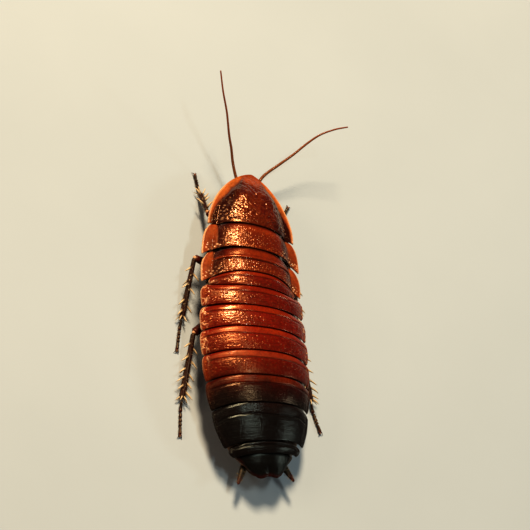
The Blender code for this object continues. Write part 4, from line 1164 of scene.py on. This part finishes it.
def make_head():
    """The head capsule, hanging under the shield, with clypeus, labrum, mandibles and pale ocelli."""
    z, x, y = globe(int(70 * FINE) + 20, int(90 * FINE) + 20, 0.03)
    down = np.clip(-z, 0, 1)
    face = ease(y, 0.2, 0.8)
    relief = 0.006 * granules(x * 3, z * 3, 0.2, 61)[0] - 0.05 * bell(z + 0.35, 0.05) * face
    relief += 0.03 * face * bell(z + 0.6, 0.2) * np.exp(-((x / 0.5) ** 2))
    points = np.stack([
        x * HEAD_RADII[0] * (1 - 0.42 * down**1.5),
        y * HEAD_RADII[1] * np.where(y > 0, 0.82, 1.0) * (1 - 0.25 * down),
        z * HEAD_RADII[2],
    ], axis=-1) * (1 + relief[..., None])
    tilt = Matrix.Rotation(-math.radians(HEAD_TILT_DEG), 3, "X")
    turn = Matrix.Rotation(BEND_PER_MM * (HEAD_CENTRE[1] - BEND_CENTRE), 3, "Z") @ tilt
    spot = bell(np.abs(x) - 0.34, 0.07) * bell(z - 0.42, 0.07) * face
    tint = painted(
        mix(MAROON * 0.9, BLACK, ease(z, 0.2, 0.9)),
        (ORANGE * 0.6, 0.6 * face * ease(-z, 0.3, 0.7)),
        (CREAM, np.clip(1.4 * spot, 0, 1)),
    )
    piece = Piece()
    piece.add(points @ np.array(turn).T + on_body(*HEAD_CENTRE), tint, 0.6)
    ball(piece, mirrored(LABRUM[0], "right"), LABRUM[1], ORANGE * 0.45, 0.6, 24, 28)
    for side in ("left", "right"):
        ball(piece, mirrored(MANDIBLE[0], side), MANDIBLE[1], MAROON, 0.7, 20, 24)
        ball(piece, on_body(*SOCKETS[side]) + (0, 0.05, 0), SOCKET_RADII, MAHOGANY, 0.5, 20, 24)
    piece.finish("head", "chitin")


def make_eye(side):
    """A kidney-shaped compound eye."""
    x, y, z = globe(48, 64, 0.05)
    y = y - 0.3 * bell(z, 0.5) * ease(y, 0.1, 0.9)
    piece = Piece()
    piece.add(np.stack([x, y, z], axis=-1) * EYE_RADII + mirrored(EYE_CENTRE, side), BLACK * 0.8, 0.9)
    piece.finish(f"eye_{side}", "eye")


def make_antenna(side):
    """The scape, and a flagellum of about ninety rings that lengthen towards its tip."""
    path = [on_body(*point) for point in ANTENNA_PATHS[side]]
    socket = on_body(*SOCKETS[side])
    scape = Piece()
    limb(scape, socket, path[0] - (path[0] - socket) * 0.06, SCAPE_RADIUS, (0.85, 1.0, 1.0, 0.8), 1.0,
         mix(MAHOGANY, LEG_BROWN, np.linspace(0, 1, 30)), gloss=0.6, sides=20)
    scape.finish(f"antenna_{side}_scape", "chitin")
    count = FLAGELLUM_RINGS * POINTS_PER_RING + 1
    share = np.linspace(0, 1, count)
    phase = FLAGELLUM_RINGS * (0.72 * share**0.8 + 0.28 * share)
    notch = np.exp(-(((phase % 1.0) - 0.5) / 0.5) ** 8)
    radii = FLAGELLUM_RADIUS + (FLAGELLUM_TIP_RADIUS - FLAGELLUM_RADIUS) * share
    radii = radii * 0.93 * (0.80 + 0.2 * notch) * rounded(share, 0.004, 0.1)
    tint = mix(FEELER_BROWN, ORANGE * 0.6, 0.6 * ease(share, 0.2, 1.0))
    tint = mix(tint, LEG_BROWN, 0.6 * (1 - notch))
    piece = Piece()
    grid = tube(piece, smooth_path(path, count), radii, radii, tint, 0.35, sides=12)
    hairs(piece, grid, int(400 * FINE), 0.16, random.Random(side), 0.6, tint=FEELER_BROWN)
    piece.finish(f"antenna_{side}", "chitin")


def make_palps(side):
    tint = mix(LEG_BROWN * 2, ORANGE * 0.5, np.linspace(0, 1, 18))
    for name, joints in (("maxillary", MAXILLARY_PALP), ("labial", LABIAL_PALP)):
        places = [mirrored(point, side) for point in joints]
        piece = Piece()
        for step, (start, end) in enumerate(zip(places, places[1:])):
            grid = limb(piece, start, end, PALP_RADIUS, (0.75, 0.95, 1.0, 0.9), 1.0, tint, sides=14)
            hairs(piece, grid, 10, 0.2, random.Random(step), 0.7)
        piece.finish(f"{name}_palp_{side}", "chitin")


def make_cercus(side):
    """A short feeler at the rear, in rings, with bristles."""
    way = 1 if side == "right" else -1
    root, tip = mirrored(CERCUS_ROOT, side), mirrored(CERCUS_TIP, side)
    share = np.linspace(0, 1, 90)
    radii = CERCUS_RADIUS * swell((0.8, 1.0, 0.95, 0.8, 0.6, 0.3), len(share))
    radii = radii * (0.92 + 0.08 * np.abs(np.sin(share * math.pi * 10)) ** 0.5)
    tint = mix(BLACK, MAHOGANY, 0.5 * ease(share, 0.5, 1.0))
    path = np.linspace(root, root + (tip - root) * 0.99, len(share))
    piece = Piece()
    grid = tube(piece, path, radii, radii * 0.6, tint, 0.5, sides=20)
    hairs(piece, grid, 50, 0.6, random.Random(way), 1.0)
    piece.finish(f"cercus_{side}", "leg_chitin")


def new_material(name):
    material = bpy.data.materials.new(name)
    material.use_nodes = True
    return material, material.node_tree, material.node_tree.nodes["Principled BSDF"]


def fill(node, joins=(), **settings):
    """Gives a node these settings, and joins its inputs to (input, other node, its output)."""
    for name, value in settings.items():
        if hasattr(node, name):
            setattr(node, name, value)
        else:
            node.inputs[name.replace("_", " ")].default_value = value
    for own, other, output in joins:
        node.id_data.links.new(other.outputs[output], node.inputs[own])


def add_node(tree, kind, joins=(), **settings):
    node = tree.nodes.new(kind)
    fill(node, joins, **settings)
    return node


def around_one(tree, noise_node, low, high):
    """Turns a node's noise into numbers to multiply by, from low to high."""
    return add_node(tree, "ShaderNodeMapRange", [("Value", noise_node, "Fac")],
                    From_Min=0.3, From_Max=0.7, To_Min=low, To_Max=high)


def shell_material(name, bump_scale, bump_strength, rough, coat, shine_tint, shine_level):
    """Chitin: colour from the piece's own tint with fine mottling, roughness from its gloss, pitted bump."""
    material, tree, shader = new_material(name)
    place = add_node(tree, "ShaderNodeTexCoord")
    here = [("Vector", place, "Object")]
    tint = add_node(tree, "ShaderNodeAttribute", attribute_name="tint")
    mottle = add_node(tree, "ShaderNodeTexNoise", here, Scale=2600.0, Detail=4.0, Roughness=0.6)
    levels = around_one(tree, mottle, 0.72, 1.28)
    colour = add_node(tree, "ShaderNodeMix", data_type="RGBA", blend_type="MULTIPLY", Factor=1.0)
    fill(colour, [("A", tint, "Color"), ("B", levels, "Result")])
    gloss = add_node(tree, "ShaderNodeAttribute", attribute_name="gloss")
    shine = add_node(tree, "ShaderNodeMapRange", [("Value", gloss, "Fac")], To_Min=rough[1], To_Max=rough[0])
    grit = add_node(tree, "ShaderNodeTexNoise", here, Scale=1500.0, Detail=3.0)
    grit = around_one(tree, grit, 0.8, 1.25)
    dull = add_node(tree, "ShaderNodeMath", [(0, shine, "Result"), (1, grit, "Result")],
                    operation="MULTIPLY")
    pits = add_node(tree, "ShaderNodeTexVoronoi", here, Scale=bump_scale)
    ripples = add_node(tree, "ShaderNodeTexNoise", here, Scale=bump_scale * 0.5, Detail=4.0)
    total = add_node(tree, "ShaderNodeMath", [(0, pits, "Distance"), (1, ripples, "Fac")], operation="ADD")
    bump = add_node(tree, "ShaderNodeBump", [("Height", total, "Value")],
                    Strength=bump_strength, Distance=BUMP_DEPTH_M)
    joins = [("Base Color", colour, "Result"), ("Roughness", dull, "Value"), ("Normal", bump, "Normal")]
    fill(shader, joins, IOR=CHITIN_IOR, Specular_IOR_Level=shine_level, Specular_Tint=(*shine_tint, 1),
         Coat_Weight=coat, Coat_Roughness=COAT_ROUGHNESS)
    return material


def make_floor():
    material, tree, shader = new_material("pale_floor")
    grain = add_node(tree, "ShaderNodeTexNoise", Scale=60.0, Detail=5.0)
    ramp = add_node(tree, "ShaderNodeValToRGB", [("Fac", grain, "Fac")])
    for element, colour in zip(ramp.color_ramp.elements, FLOOR_COLOURS):
        element.color = colour
    fill(shader, [("Base Color", ramp, "Color")], Roughness=FLOOR_ROUGHNESS)
    data = bpy.data.meshes.new("floor")
    corners = [(x * FLOOR_REACH_M, y * FLOOR_REACH_M, 0) for x, y in ((-1, -1), (1, -1), (1, 1), (-1, 1))]
    data.from_pydata(corners, [], [(0, 1, 2, 3)])
    data.materials.append(material)
    linked("floor", data)


def make_camera():
    toward = Vector((-math.sin(math.radians(CAMERA_TURN_DEG)), -math.sin(math.radians(CAMERA_TILT_DEG)), 0))
    toward.z = math.sqrt(1 - toward.length_squared)
    right = (-toward).cross(Vector((0, 1, 0))).normalized()
    up = right.cross(-toward)
    distance = FRAME_PIXELS / PIXELS_PER_MM * LENS / SENSOR
    mark = Vector((MARK[0], -MARK[1], MARK[2])) + Vector(SHIFT)
    off_across, off_down = ((FRAME_PIXELS / 2 - pixel) / PIXELS_PER_MM for pixel in MARK_PIXEL)
    mark += right * off_across - up * off_down
    data = bpy.data.cameras.new("camera")
    data.lens = LENS
    data.sensor_width = SENSOR
    data.clip_start = 0.01
    camera = linked("camera", data)
    turn = Matrix((right, up, toward)).transposed().to_4x4()
    camera.matrix_world = Matrix.Translation((mark + toward * distance) * MM) @ turn
    bpy.context.scene.camera = camera


def area_light(name, direction, distance, size, power, colour):
    """A softbox that faces the middle of the model."""
    data = bpy.data.lights.new(name, "AREA")
    data.shape = "RECTANGLE"
    data.size, data.size_y = size
    data.energy = power
    data.color = colour
    way = Vector(direction).normalized()
    along = (Vector((0, 1, 0)) - way * way.y).normalized()
    turn = Matrix((along.cross(way), along, way)).transposed().to_4x4()
    linked(name, data).matrix_world = Matrix.Translation(MODEL_MIDDLE_M + way * distance) @ turn


def make_lights():
    for name, settings in LIGHTS.items():
        area_light(name, *settings)
    world = bpy.data.worlds.new("studio")
    world.use_nodes = True
    fill(world.node_tree.nodes["Background"], Color=STUDIO_COLOUR, Strength=STUDIO_LEVEL)
    bpy.context.scene.world = world
    view = bpy.context.scene.view_settings
    view.view_transform = "Standard"
    view.exposure = EXPOSURE
    view.gamma = CONTRAST_GAMMA


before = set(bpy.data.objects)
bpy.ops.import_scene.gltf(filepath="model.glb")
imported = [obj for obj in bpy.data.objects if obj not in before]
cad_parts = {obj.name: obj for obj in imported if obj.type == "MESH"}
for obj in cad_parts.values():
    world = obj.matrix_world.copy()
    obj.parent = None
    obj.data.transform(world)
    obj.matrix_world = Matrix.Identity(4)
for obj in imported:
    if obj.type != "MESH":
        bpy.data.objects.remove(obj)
cad_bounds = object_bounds()
pronotum_low, pronotum_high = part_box("pronotum")
# The way from the body's frame to the model's, and in the body's frame the box that spines stay in.
SHIFT = np.array(((pronotum_low.x + pronotum_high.x) / 2 / MM, pronotum_high.y / MM, 0.0))
LOWEST = np.array(cad_bounds[0]) / MM - SHIFT + BOX_MARGIN
HIGHEST = np.array(cad_bounds[1]) / MM - SHIFT - BOX_MARGIN
MATERIALS = {name: shell_material(name, *looks) for name, looks in LOOKS.items()}

make_pronotum()
for before_name, plate_name in zip(DORSAL, list(DORSAL)[1:]):
    make_dorsal_plate(before_name, plate_name)
make_anal_plate()
for before_plate, plate_name in zip([BELLY_FRONT, *BELLY.values()], BELLY):
    make_belly_plate(before_plate, plate_name)
make_membrane()
make_head()
for body_side in ("left", "right"):
    make_eye(body_side)
    make_antenna(body_side)
    make_palps(body_side)
    make_cercus(body_side)
    for leg_pair in LEGS:
        make_leg(leg_pair, body_side)
make_floor()
make_camera()
make_lights()
